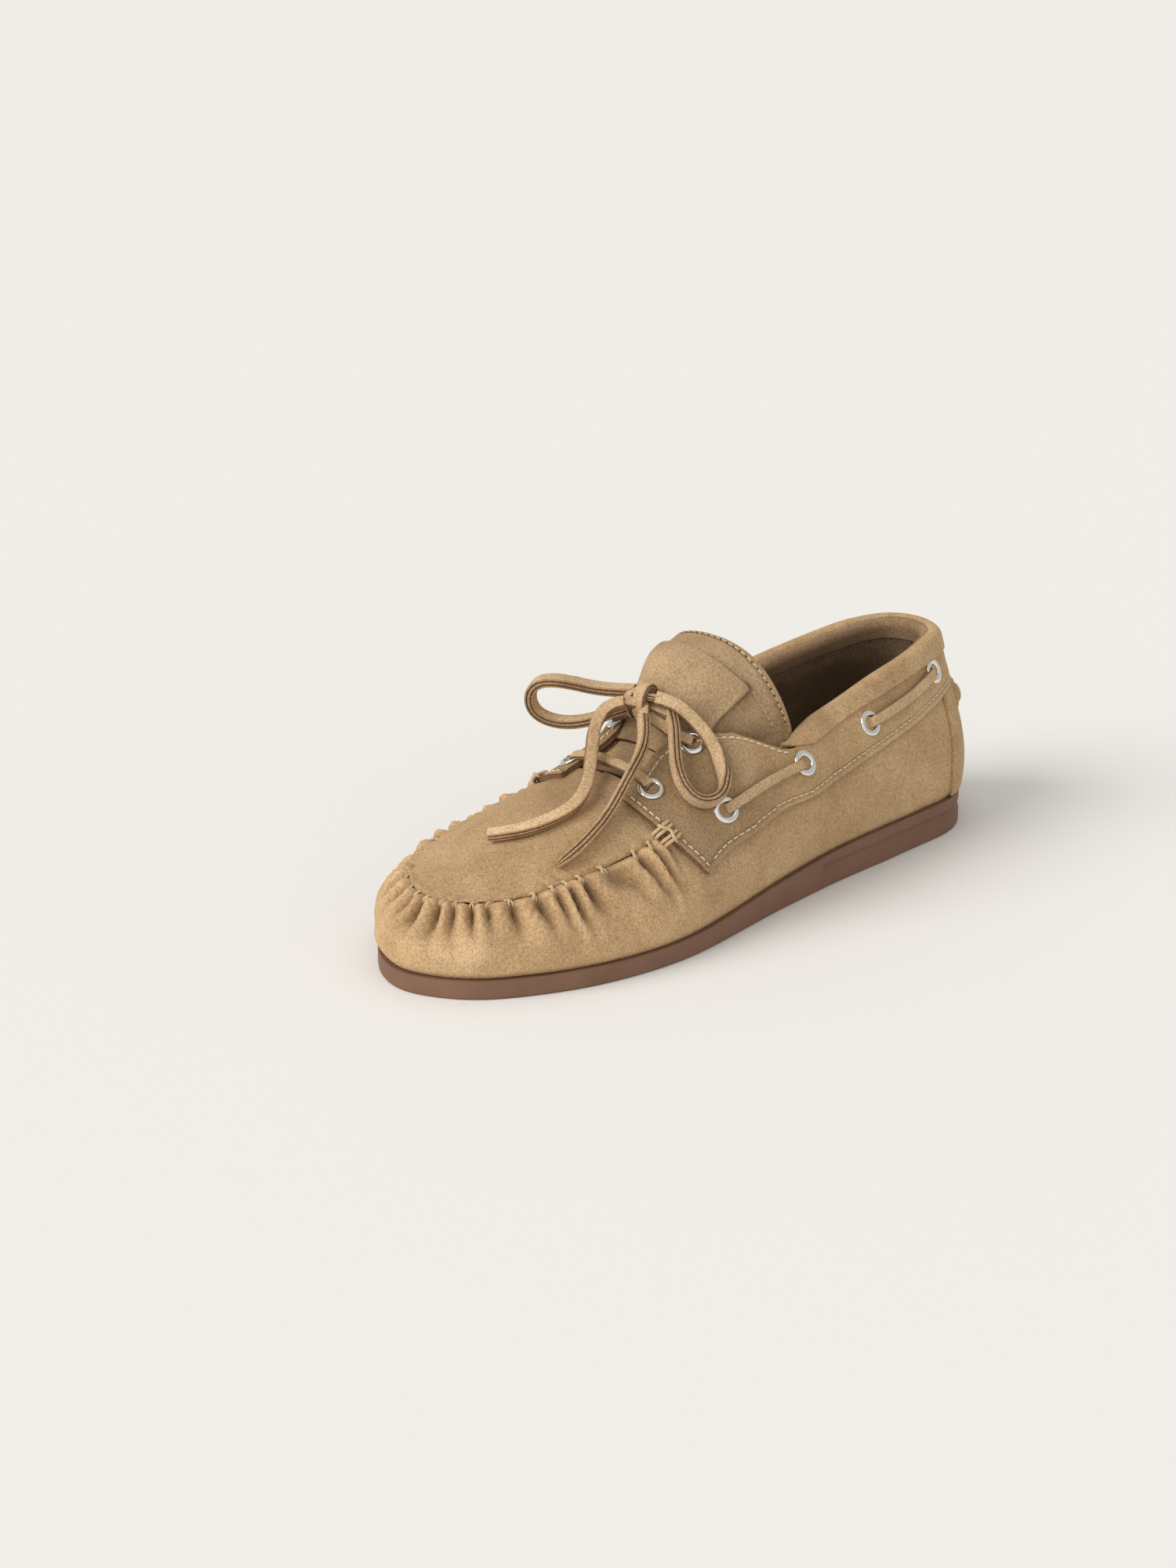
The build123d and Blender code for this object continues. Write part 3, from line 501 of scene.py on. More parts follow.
TAN = suede("suede_tan", (0.385, 0.240, 0.122), (0.505, 0.334, 0.180), (0.605, 0.425, 0.250))
TAN_LIGHT = suede("suede_light", (0.325, 0.208, 0.110), (0.430, 0.293, 0.165),
                  (0.530, 0.382, 0.236))
BROWN = suede("suede_lining", (0.118, 0.075, 0.043), (0.168, 0.110, 0.064),
              (0.224, 0.150, 0.090), 1.2, 0.25)
WELT = suede("suede_lining_welt", (0.235, 0.150, 0.083), (0.305, 0.200, 0.113),
             (0.375, 0.252, 0.148), 1.1, 0.25)
LACE = suede("rawhide_face", (0.440, 0.296, 0.162), (0.555, 0.385, 0.222),
             (0.655, 0.478, 0.302), 1.1, 0.3)
LACE_SIDE = suede("rawhide_side", (0.300, 0.186, 0.100), (0.400, 0.258, 0.145),
                  (0.490, 0.328, 0.195), 1.2, 0.1)
# Near-black brown: painted shade in the lace grooves, in the stitch holes and along the tongue
# panel's cut edges
PAINTED_SHADE_BROWN = suede("painted_shade_brown", (0.095, 0.054, 0.028), (0.140, 0.082, 0.044),
                  (0.190, 0.115, 0.065), 1.2, 0.05)
THREAD = plain("thread_tan", (0.740, 0.610, 0.430), 0.8, spec=0.2, bump_scale=2500.0)
CORD_THREAD = plain("thread_thick", (0.600, 0.430, 0.250), 0.85, spec=0.2, bump_scale=1800.0)
CUT = suede("suede_cut_edge", (0.190, 0.108, 0.056), (0.250, 0.150, 0.080),
            (0.310, 0.190, 0.108), 1.2, 0.1)
RUBBER = plain("rubber_brown", (0.205, 0.108, 0.066), 0.62, spec=0.35, bump_scale=900.0,
               bump_depth=0.00006, vary=0.10)
METAL = plain("eyelet_nickel", (0.80, 0.79, 0.76), 0.16, metallic=1.0, vary=0.03)
BOARD = plain("insole_board", (0.33, 0.24, 0.15), 0.9, spec=0.2, bump_scale=700.0)


# ---- the gathered wall ---------------------------------------------------------------
PLEATS = 72.0      # gathers for one whole turn of t


def pleat_phase(t):
    """Counts the gathers along the seam; whole numbers are the valleys."""
    x = (np.asarray(t, float) - 0.5) * PLEATS
    return x + 0.40 * wave(x * 0.66, 5) + 0.07 * wave(x * 1.9, 9)


def dents(x, y, size, seed):
    """Soft uneven surface over two lengths in millimetres, about -1 to 1."""
    rng = np.random.default_rng(seed)
    total = 0.0
    for _ in range(7):
        turn = rng.uniform(0, math.pi)
        rate = 2 * math.pi / (size * rng.uniform(0.7, 1.6))
        total = total + np.sin(rate * (x * math.cos(turn) + y * math.sin(turn))
                               + rng.uniform(0, 6.28))
    return total / 3.2


def gather(t, share):
    """Phase, ridge (0 valley, 1 crest) and strength of the gathers on the wall."""
    near = np.abs(t - 0.5)
    rearward = smooth((near - 0.05) / 0.10)
    down = 1.0 - share
    lean = np.sign(0.5 - t) * (0.5 + 1.3 * rearward) * down
    phase = pleat_phase(t) + lean + 0.45 * wave(t * 75.0, 3) * down
    phase = phase + 0.16 * wave(share * 9.0 + t * 60.0, 4) * down
    soft = 0.09 + 0.55 * down
    fine = np.sqrt(np.sin(np.pi * phase) ** 2 + soft**2) - soft * 0.8
    broad = np.sqrt(np.sin(np.pi * (0.5 * phase + 0.2)) ** 2 + soft**2) - soft * 0.8
    merge = 0.45 * smooth((0.80 - share) / 0.40)
    ridge = np.clip(fine * (1.0 - merge) + broad * merge, 0.0, 1.0) ** 0.85
    length = np.clip(0.74 + 0.14 * rearward + 0.24 * wave(phase * 1.3, 17), 0.35, 1.0)
    fade = smooth((share - (1.0 - length)) / length)
    depth = np.clip(5.7 + 0.9 * rearward + 1.9 * wave(phase * 1.1, 19), 2.6, 8.4)
    reach = smooth((0.188 - near) / 0.013)
    return phase, ridge, fade * depth * reach


def pleats(t, v):
    """How far the gathers push the wall out, in millimetres."""
    share = v / seam_height(t)
    phase, ridge, strength = gather(t, share)
    crinkle = 0.05 * np.sin(phase * 19.0) * np.sin(share * 60.0 + phase * 3.0)
    near = np.abs(t - 0.5)
    broad = 0.75 * dents(t * ROUND_MM, share * 62.0, 30.0, 11) * smooth(share / 0.35)
    held = 1.0 - 0.80 * smooth((share - 0.865) / 0.11)
    return strength * held * (ridge - 0.60 + crinkle) + broad * smooth((0.24 - near) / 0.06)


def fold_shade(t, v):
    """Painted light on the crests of the gathers, painted shade in their valleys and along the
    seam.
    """
    share = v / seam_height(t)
    _, ridge, strength = gather(t, share)
    seam = smooth((share - 0.955) / 0.04) * smooth((0.184 - np.abs(t - 0.5)) / 0.012)
    return strength * 0.22 * (ridge - 0.62) - 0.45 * seam * (1.15 - ridge)


def lip(t, v):
    """The wall's puffs stand up along the seam, lap over the apron's edge and end in it."""
    share = v / seam_height(t)
    _, ridge, _ = gather(t, share)
    reach = smooth((0.180 - np.abs(t - 0.5)) / 0.012)
    rise = (0.5 + 1.0 * ridge) * np.exp(-(((share - 0.945) / 0.050) ** 2))
    tuck = -(0.1 + 0.4 * ridge) * smooth((share - 0.960) / 0.040)
    tuck = tuck - (1.6 + 0.8 * ridge) * smooth((share - 0.995) / 0.055)
    return reach * (rise + tuck)


def make_wall():
    t = np.linspace(0.0001, 0.9999, 1240)
    near = np.minimum(t, 1.0 - t)
    rear = smooth((0.290 - near) / 0.045)
    under = 1.0 + 0.055 * smooth((0.178 - np.abs(t - 0.5)) / 0.010)
    top = seam_height(t) * under * (1.0 - rear) + 0.945 * rear
    share = 1.0 - (1.0 - np.linspace(0.0, 1.0, 84)) ** 1.35
    tt = np.repeat(t[:, None], len(share), axis=1)
    vv = top[:, None] * share[None, :]
    front = smooth((0.20 - np.abs(tt - 0.5)) / 0.02)
    out = (pleats(tt, vv) + lip(tt, vv)) * front
    slack = 0.45 * dents(tt * ROUND_MM, vv * 60.0, 34.0, 21) * (1.0 - front) * smooth(vv / 0.2)
    foot = 0.5 * np.exp(-((vv / 0.03) ** 2))
    g = lay(tt, vv, out + slack - foot)
    # painted light on the crests and painted shade in the valleys of the gathers, and painted
    # shade along the sole line
    shade = fold_shade(tt, vv) * front - 0.28 * np.exp(-((vv / 0.035) ** 2))
    # the front wall is lighter towards the sole
    shade = shade + front * 0.22 * smooth((0.50 - vv) / 0.30)
    # painted shadow on the wall below the collar's edges
    shade = shade - 0.55 * np.exp(-((distance_to(g, collar_border()) / 2.6) ** 2))
    pts, faces = thick_grid(g, 1.5, flip=True, round_edge=0.1)
    obj = make_mesh("wall_gathered", pts, faces, TAN, shade=shade)
    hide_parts("wall")
    return obj


# ---- the apron -----------------------------------------------------------------------
def apron_base(a, b):
    rear, front = 0.312, 0.444
    t = rear + (front - rear) * b
    left = surf(t, seam_height(t))
    right = surf(1.0 - t, seam_height(t))
    toe_t = front + (1.0 - 2.0 * front) * a
    toe = surf(toe_t, seam_height(toe_t))
    half = np.minimum(a, 1.0 - a) * 2.0

    def straight(t):
        v = seam_height(t) + (1.0 - seam_height(t)) * half
        return surf(np.where(a < 0.5, t, 1.0 - t), v)
    ends = [surf(u, seam_height(u)) for u in (rear, front)]
    twins = [surf(1.0 - u, seam_height(u)) for u in (rear, front)]
    a3, b3 = a[..., None], b[..., None]
    ruled = (1 - b3) * straight(np.full_like(a, rear)) + b3 * toe + (1 - a3) * left + a3 * right
    both = (1 - b3) * ((1 - a3) * ends[0] + a3 * twins[0])
    both = both + b3 * ((1 - a3) * ends[1] + a3 * twins[1])
    crown = 3.2 * np.sin(np.pi * b) * (1.0 - (2.0 * a - 1.0) ** 2)
    free = ruled - both + crown[..., None] * np.array([0.0, 0.0, 1.0])
    w = smooth((b - 0.10) / 0.35)[..., None]
    return straight(t) * (1.0 - w) + free * w


def apron_edge(edge, crest):
    """Height of the puckered edge at a distance from the seam; crest 0 is a valley."""
    pucker = 1.1 * (crest - 0.5) * np.exp(-((edge / 4.2) ** 2))
    turned = 0.55 * np.exp(-(((edge - 2.2) / 1.7) ** 2)) - 0.25 * np.exp(-((edge / 1.0) ** 2))
    return pucker + turned


def make_apron():
    a, b = np.meshgrid(np.linspace(0.004, 0.996, 190), np.linspace(0.0, 0.995, 210),
                       indexing="ij")
    g = apron_base(a, b)
    n = grid_normals(g)
    n = np.where(n[..., 2:] < 0, -n, n)
    edge_l = np.linalg.norm(g - apron_base(np.zeros_like(a), b), axis=-1)
    edge_r = np.linalg.norm(g - apron_base(np.ones_like(a), b), axis=-1)
    edge_f = np.linalg.norm(g - apron_base(a, np.ones_like(b)), axis=-1)
    edge = np.minimum(np.minimum(edge_l, edge_r), edge_f)
    t = 0.312 + (0.444 - 0.312) * b
    side_t = np.where(a < 0.5, t, 1.0 - t)
    toe_t = 0.444 + (1.0 - 0.888) * a
    at = np.where(edge_f < np.minimum(edge_l, edge_r), toe_t, side_t)
    crest = np.abs(np.sin(np.pi * pleat_phase(at)))
    sway = 0.45 * dents(g[..., 0], g[..., 1], 30.0, 31)
    sway = sway * smooth(edge / 10.0)
    front = smooth((b - 0.03) / 0.05)
    g = g + ((apron_edge(edge, crest) + sway) * front)[..., None] * n
    flip = grid_normals(g)[90, 100, 2] < 0
    # painted shade along the seam edge in the valleys of the gathers; slightly darker away from
    # the edges
    shade = -0.35 * (1.2 - crest) * np.exp(-((edge / 1.3) ** 2)) - 0.08 * smooth(edge / 16.0)
    # painted shadow of the bow on the apron near the throat
    shade = shade - 0.30 * smooth((0.34 - b) / 0.34)
    # painted shadow on the apron below the collar's edges
    shade = shade - 0.55 * np.exp(-((distance_to(g, collar_border()) / 2.6) ** 2))
    pts, faces = thick_grid(g, 1.5, flip=bool(flip), round_edge=0.1)
    obj = make_mesh("apron_top", pts, faces, TAN, shade=shade)
    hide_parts("apron")
    return obj


# ---- collar, stay and roll -----------------------------------------------------------
COLLAR_OUT = 2.05   # outer face of the collar, above the shoe surface


def collar_grid(sign, na=560, nb=72):
    """Outer grid of one collar piece, its edges thinned and its stitch lines pressed in."""
    a, b = np.meshgrid(np.linspace(0, 1, na), np.linspace(0, 1, nb), indexing="ij")
    t, v = collar_map(a, b)
    tt = t if sign > 0 else 1.0 - t
    g = surf(tt, v)
    low = np.linalg.norm(g - g[:, :1], axis=-1)
    front = np.linalg.norm(g - g[-1:, :], axis=-1)
    high = np.linalg.norm(g - g[:, -1:], axis=-1)
    press = -0.50 * np.exp(-(((low - 2.4) / 0.6) ** 2))
    press = press - 0.50 * np.exp(-(((front - 2.4) / 0.6) ** 2))
    sway = 0.35 * dents(t * ROUND_MM, v * 60.0, 24.0, 41) * smooth(low / 8.0) * smooth(high / 5.0)
    puff = 0.30 * smooth(np.minimum(low, front) / 6.0)
    return tt, v, lay(tt, v, COLLAR_OUT + press + sway + puff * smooth(high / 4.0))


def collar_border():
    """Dense points along the lower and front edges of both collar pieces."""
    line = []
    for sign in (1.0, -1.0):
        _, _, g = collar_grid(sign, 1100, 190)
        line += [g[:, 0], g[-1, :]]
    return np.concatenate(line)


def make_collar(side, sign):
    tt, _, g = collar_grid(sign)
    border = np.concatenate([g[:, 0], g[-1, :]])
    edge = distance_to(g, border)
    # lighter along the cut edges; painted shade along the pressed stitch line
    shade = 0.16 * np.exp(-((edge / 0.9) ** 2)) - 0.28 * np.exp(-(((edge - 2.4) / 0.8) ** 2))
    # painted shadow of the bow over the front of the eyestays
    shade = shade - 0.55 * smooth((np.minimum(tt, 1.0 - tt) - 0.225) / 0.06)
    pts, faces = thick_grid(g, 1.9, flip=(sign > 0), round_edge=0.12)
    rim = 2 * (g.shape[0] + g.shape[1]) - 4
    obj = make_mesh("collar_suede_" + side, pts, faces, TAN, edge=CUT, edge_faces=rim,
                    shade=shade)
    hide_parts("collar_" + side)
    return obj


WELT_FROM = 0.56 * math.pi    # from here inward the rolled edge shows the lining's welt


def make_roll():
    """Rolled edge round the opening, merging into the collar outside."""
    reach = 0.2150
    t = np.linspace(-reach, reach, 440)
    rim = surf(t, curve_value(COLLAR_HIGH, np.abs(t)) + 0.045)
    out = normal(t, np.full_like(t, 0.985))
    along = surf(t + 0.002, np.ones_like(t)) - surf(t - 0.002, np.ones_like(t))
    up = np.cross(along, out)
    up = up / np.linalg.norm(up, axis=1, keepdims=True)
    up = np.where(up[:, 2:] < 0, -up, up)
    angle = np.linspace(-0.35 * np.pi, 1.25 * np.pi, 30)
    wide = -0.55 + 2.55 * np.cos(angle)
    tall = 0.1 + 2.0 * np.sin(angle)
    tall = np.where(angle < 0, 0.1 + 5.2 * np.sin(angle), tall)
    tall = np.where(angle > np.pi, 0.1 - 4.2 * (angle / np.pi - 1.0) * 4.0, tall)
    wide = np.where(angle < 0, 2.0 + 0.05 * angle, wide)
    wide = np.where(angle > np.pi, -3.1, wide)
    tall = tall - 0.8 * np.exp(-(((angle - WELT_FROM) / 0.20) ** 2))
    wob = 1.0 + 0.05 * wave(t * 55.0, 51)
    fade = smooth((reach - np.abs(t)) / 0.022)[:, None]
    tall = tall[None, :] * wob[:, None] * (0.10 + 0.90 * fade)
    wide = wide[None, :] * fade + 0.6 * (1.0 - fade)
    g = rim[:, None] + wide[..., None] * out[:, None] + tall[..., None] * up[:, None]
    pts, faces = thick_grid(g, 1.2, flip=False, round_edge=0.2)
    obj = make_mesh("collar_rolled_edge", pts, faces, TAN)
    obj.data.materials.append(WELT)
    cells = len(angle) - 1
    for p in obj.data.polygons:
        if p.index < 2 * (len(t) - 1) * cells and angle[p.index // 2 % cells] > WELT_FROM:
            p.material_index = 1
    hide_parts("collar_roll")
    return obj


def make_lining():
    t = np.linspace(-0.232, 0.232, 300)
    share = np.linspace(0.0, 1.0, 46)
    tt, ss = np.meshgrid(t, share, indexing="ij")
    v = 0.06 + (0.92 - 0.12 * smooth((np.abs(tt) - 0.198) / 0.02)) * ss
    ripple = 0.25 * wave(tt * 60.0, 61) * np.sin(np.pi * ss)
    depth = -(LINING_DEPTH + 1.1) + ripple
    g = lay(tt, v, depth + 1.5 * smooth((ss - 0.80) / 0.18))
    seam = -0.35 * np.exp(-(((tt - 0.0) / 0.0016) ** 2))
    g = g + seam[..., None] * normal(tt, v) * -1.0
    pts, faces = thick_grid(g, 1.0, flip=False, round_edge=0.2)
    obj = make_mesh("lining_suede", pts, faces, BROWN)
    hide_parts("collar_lining")
    return obj


def make_stay():
    """Heel patch with its edge pressed down along the stitches."""
    half = curve_value([(0.0, 0.066), (0.35, 0.0675), (1.0, 0.058)], np.linspace(0, 1, 50))
    a = np.linspace(-1, 1, 150)
    aa = np.repeat(a[:, None], 50, axis=1)
    tt = aa * half[None, :]
    low = 0.015
    high = curve_value(COLLAR_LOW, np.abs(tt)) - 0.004
    vv = low + (high - low) * np.linspace(0, 1, 50)[None, :]
    mid = surf(tt, vv)
    edge = np.minimum(np.linalg.norm(mid - mid[:1], axis=-1),
                      np.linalg.norm(mid - mid[-1:], axis=-1))
    press = -0.45 * np.exp(-(((edge - 2.2) / 0.8) ** 2)) - 0.5 * np.exp(-((edge / 0.8) ** 2))
    g = lay(tt, vv, LAP + SUEDE - 0.05 + press)
    pts, faces = thick_grid(g, 1.5, flip=True, round_edge=0.35)
    obj = make_mesh("heel_patch", pts, faces, TAN)
    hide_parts("heel_stay")
    return obj


def make_tuck():
    """Gathered roll below the collar at the back of the heel."""
    t = np.linspace(-0.034, 0.034, 120)
    s = np.linspace(0, 1, 34)
    tt, ss = np.meshgrid(t, s, indexing="ij")
    vv = 0.515 + 0.165 * ss
    envelope = np.sqrt(np.clip(1.0 - (tt / 0.034) ** 2, 0.0, 1.0))
    folds = 0.30 * np.abs(np.sin(tt * 640.0)) + 0.15 * np.sin(tt * 1500.0 + ss * 3.0)
    swell = np.sin(np.pi * ss) ** 0.7 * envelope * (2.6 + folds * np.sin(np.pi * ss))
    g = lay(tt, vv, LAP + SUEDE + 0.1 + swell)
    pts, faces = thick_grid(g, 0.5, flip=True, round_edge=0.2)
    obj = make_mesh("heel_pucker", pts, faces, TAN)
    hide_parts("heel_tuck")
    parts = []
    for here in (-0.026, -0.013, 0.0, 0.013, 0.026):
        share = np.linspace(0.12, 0.88, 12)
        high = np.sin(np.pi * share) ** 0.7 * math.sqrt(1.0 - (here / 0.034) ** 2) * 2.9
        v = 0.515 + 0.165 * share
        line = lay(np.full_like(v, here + 0.002), v, LAP + SUEDE + 0.2 + high)
        parts.append(tube(line, 0.45, up=normal(here, 0.6), sides=8, taper=True))
    pts, faces = join_parts(parts)
    make_mesh("heel_tuck_threads", pts, faces, CORD_THREAD)


make_wall()
make_apron()
make_collar("lateral", 1.0)
make_collar("medial", -1.0)
make_roll()
make_lining()
make_stay()
make_tuck()


# ---- tongue --------------------------------------------------------------------------
def tongue_surf(s, f):
    cols = [curve_value([(k, r[c]) for k, r in enumerate(TONGUE_ROWS)], s) for c in range(6)]
    half, foot_y, foot_z, top_y, top_z, square = cols
    angle = f * np.pi / 2.0
    wide = np.abs(np.sin(angle)) ** (2.0 / square) * np.where(f >= 0, 1.0, -1.0)
    tall = np.maximum(np.cos(angle), 0.0) ** (2.0 / square)
    return np.stack([half * wide, foot_y + (top_y - foot_y) * tall,
                     foot_z + (top_z - foot_z) * tall], axis=-1)


def tongue_grid(s, f, depth):
    g = tongue_surf(s, f)
    along = tongue_surf(np.minimum(s + 0.02, 6.0), f) - tongue_surf(np.maximum(s - 0.02, 0), f)
    across = tongue_surf(s, np.minimum(f + 0.01, 1.0)) - tongue_surf(s, np.maximum(f - 0.01, -1))
    n = np.cross(across, along)
    n = n / np.maximum(np.linalg.norm(n, axis=-1, keepdims=True), 1e-9)
    return g + np.asarray(depth, float)[..., None] * n, n


def bend_with_tongue(obj):
    """Bakes the piece's placement into its mesh."""
    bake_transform(obj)


def with_skirt(g, steps=5):
    """The tongue's sides carried down inside the collar."""
    rows = []
    for side, edge in ((-1.0, g[:1]), (1.0, g[-1:])):
        for k in range(1, steps + 1):
            rows.append(edge + np.array([side * 0.25 * k, 0.0, -1.7 * k]))
    return np.concatenate(rows[steps - 1::-1] + [g] + rows[steps:])


def rim_flare(s, f):
    return 2.2 * smooth((s - 4.5) / 1.4) * np.cos(f * np.pi / 2.0) ** 0.5


def make_tongue():
    f, s = np.meshgrid(np.linspace(-0.99, 0.99, 170), np.linspace(0.0, 6.0, 150), indexing="ij")
    rim = np.linalg.norm(tongue_surf(s, f) - tongue_surf(np.full_like(s, 6.0), f), axis=-1)
    press = -0.35 * np.exp(-(((rim - 3.0) / 0.8) ** 2)) - 0.3 * np.exp(-((rim / 0.8) ** 2))
    sway = 0.35 * wave(f * 7.0 + s, 71) * smooth(s / 1.5)
    g, n = tongue_grid(s, f, press + sway * 0.5 + rim_flare(s, f))
    # painted shadow of the panel's rear edge on the tongue, and painted shade along the rim's
    # pressed stitch line
    behind = s - overlay_high(f)
    shade = -0.7 * np.exp(-((behind / 0.14) ** 2)) - 0.25 * np.exp(-(((rim - 3.0) / 0.8) ** 2))
    # painted shadow under the panel's edges at the slits
    shade = shade - 1.1 * np.exp(-((distance_to(g, slit_lines(0.0)) / 1.3) ** 2))
    shade = np.pad(shade, ((5, 5), (0, 0)))
    pts, faces = thick_grid(with_skirt(g), 1.25, flip=False, round_edge=0.35)
    skin = make_mesh("tongue_suede", pts, faces, TAN_LIGHT, body=None, shade=shade)
    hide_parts("tongue_base", "tongue_flap")
    bend_with_tongue(skin)
    f, s = np.meshgrid(np.linspace(-0.965, 0.965, 120), np.linspace(0.4, 5.93, 100),
                       indexing="ij")
    g, _ = tongue_grid(s, f, rim_flare(s, f) - 1.35)
    pts, faces = thick_grid(g, 1.1, flip=False, round_edge=0.2)
    under = make_mesh("tongue_lining", pts, faces, BROWN, body=None)
    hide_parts("tongue_base_lining", "tongue_flap_lining")
    bend_with_tongue(under)


def overlay_high(f):
    """s of the overlay's rear edge: high over the crown, down along the slit at the side."""
    return 4.50 + 1.1 * f**2 - 2.7 * smooth((np.abs(f) - 0.62) / 0.18)


def slit_lines(depth):
    """Dense points along the short edges at both sides of the panel."""
    f = np.linspace(0.615, 0.770, 160)
    f = np.concatenate([-f, f])
    return tongue_grid(overlay_high(f), f, np.full_like(f, depth))[0]


def make_overlay():
    """Front panel of the tongue, its rear edge free."""
    f, u = np.meshgrid(np.linspace(-0.86, 0.86, 190), np.linspace(0.0, 1.0, 110), indexing="ij")
    s = 0.9 + (overlay_high(f) - 0.9) * u
    lift = 1.6 + 0.3 * u**4 + 0.25 * wave(f * 5.0 + u * 2.0, 81)
    lift = lift + 0.5 * smooth((u - 0.72) / 0.28) * smooth((np.abs(f) - 0.50) / 0.16)
    lift = lift - 1.3 * smooth((np.abs(f) - 0.76) / 0.10)
    g, _ = tongue_grid(s, f, lift)
    pts, faces = thick_grid(g, 1.5, flip=False, round_edge=0.12)
    rim = 2 * (g.shape[0] + g.shape[1]) - 4
    shade = 0.12 * smooth((u - 0.2) / 0.5) - 0.2 * smooth((0.3 - u) / 0.3)
    # painted shadow along the panel's edges at the slits
    shade = shade - 1.25 * np.exp(-((distance_to(g, slit_lines(2.3)) / 0.9) ** 2))
    shade = shade + 0.16 * dents(f * 26.0, u * 30.0, 16.0, 91)
    # all cut edge faces of the panel get the near-black painted shade
    top = make_mesh("tongue_panel", pts, faces, TAN_LIGHT, body=None,
                    edge=PAINTED_SHADE_BROWN, edge_faces=rim, shade=shade)
    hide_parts("tongue_overlay")
    bend_with_tongue(top)


make_tongue()
make_overlay()


# ---- sole, insole --------------------------------------------------------------------
def outline(inset, count=360):
    """Closed outline of the sole, moved inward."""
    n = len(FEET)
    along = np.roll(FEET, -1, axis=0) - np.roll(FEET, 1, axis=0)
    along = along / np.linalg.norm(along, axis=1, keepdims=True)
    out = np.stack([-along[:, 1], along[:, 0]], axis=1)
    base = FEET - inset * out
    t = np.linspace(0, 1, count, endpoint=False)
    before = np.roll(GAPS, 1)
    i = np.clip(np.searchsorted(KNOTS, t, side="right") - 1, 0, n - 1)
    j = (i + 1) % n
    s = (t - KNOTS[i]) / GAPS[i]
    pts = []
    for y in base.T:
        rise = (np.roll(y, -1) - y) / GAPS
        slope = (GAPS * np.roll(rise, 1) + before * rise) / (before + GAPS)
        pts.append(cubic(s, y[i], y[j], slope[i] * GAPS[i], slope[j] * GAPS[i]))
    return np.stack(pts, axis=1)


def slab(rings):
    """Closed solid from stacked rings of equal size, its ends bridged from side to side."""
    count = len(rings[0])
    faces = ring_faces(len(rings), count)
    last = (len(rings) - 1) * count
    for k in range(count // 2):
        across = (k, k + 1, count - k - 1, (count - k) % count)
        across = tuple(dict.fromkeys(across))
        faces.append(across[::-1])
        faces.append(tuple(last + c for c in across))
    return np.concatenate(rings), faces


def make_insole():
    for name, low, high, inset, material, slot, node in (
            ("footbed_leather", 2.3, 5.6, 7.2, BROWN, "footbed_leather", "footbed"),
            ("insole_layer", 0.15, 2.1, 5.2, BOARD, "board", "insole_board")):
        rings = []
        for height, extra in ((low, 0.6), (low + 0.4, 0.0), (high - 0.9, 0.0),
                              (high - 0.25, 0.35), (high, 1.3)):
            o = outline(inset + extra)
            rings.append(np.column_stack([o, sole_top(o[:, 1]) + height]))
        pts, faces = slab(rings)
        obj = make_mesh(name, pts, faces, material)
        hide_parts(node)


make_insole()


# ---- eyelets -------------------------------------------------------------------------
def ring_profile():
    """Rolled eyelet flange and barrel, as (radius, height)."""
    profile = [(2.45, -2.1), (2.45, 0.2)]
    for k in range(13):
        a = np.pi - k * np.pi / 12.0
        profile.append((3.48 + 1.03 * np.cos(a), 0.22 + 0.62 * np.sin(a)))
    profile += [(4.35, 0.0), (2.85, -0.05), (2.85, -2.1)]
    return np.array(profile)


def make_eyelets():
    profile = ring_profile()
    turn = np.linspace(0, 2 * np.pi, 56, endpoint=False)
    for number, (t, v) in enumerate(EYELETS, start=1):
        for side, u in (("lateral", t), ("medial", 1.0 - t)):
            n = normal(u, v)
            ref = np.cross(n, [0, 0, 1.0])
            ref = ref / np.linalg.norm(ref)
            other = np.cross(n, ref)
            centre = surf(u, v) + (COLLAR_OUT + 0.25) * n
            rows = [centre + r * (np.cos(turn)[:, None] * ref + np.sin(turn)[:, None] * other)
                    + z * n for r, z in profile]
            count = len(turn)
            faces = []
            total = len(rows)
            for i in range(total):
                for k in range(count):
                    m = (k + 1) % count
                    j = (i + 1) % total
                    faces.append((i * count + k, j * count + k, j * count + m, i * count + m))
            obj = make_mesh(f"eyelet_ring_{side}_{number}", np.concatenate(rows), faces,
                            METAL)
            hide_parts(f"eyelet_{side}_{number}")


make_eyelets()


# ---- laces ---------------------------------------------------------------------------
def strip_section(width=4.3, thick=3.3):
    """Rawhide strip: flat suede faces, and narrow sides with two grooves."""
    w, h = width / 2.0, thick / 2.0
    mid = 0.42 * h
    side = [(w - 0.3, h), (w, h - 0.3), (w, mid + 0.26), (w - 0.34, mid), (w, mid - 0.26),
            (w, 0.26 - mid), (w - 0.34, -mid), (w, -mid - 0.26), (w, 0.3 - h), (w - 0.3, -h)]
    face = [(x, h + 0.05) for x in np.linspace(1.1 - w, w - 1.1, 3)]
    under = [(-x, -y) for x, y in face]
    return np.array(side + under + [(-x, -y) for x, y in side] + face)


SIDE_FACES = {0, 1, 4, 7, 8, 13, 14, 17, 20, 21}      # of the section's 26 edges
GROOVE_FACES = {2, 3, 5, 6, 15, 16, 18, 19}


def colour_strip(obj, side_count, count):
    """Cut sides and ends of a strip get the darker side leather; its grooves get the near-black
    painted shade.
    """
    obj.data.materials.append(LACE_SIDE)
    obj.data.materials.append(PAINTED_SHADE_BROWN)
    for p in obj.data.polygons:
        if p.index >= side_count or p.index % count in SIDE_FACES:
            p.material_index = 1
        elif p.index % count in GROOVE_FACES:
            p.material_index = 2


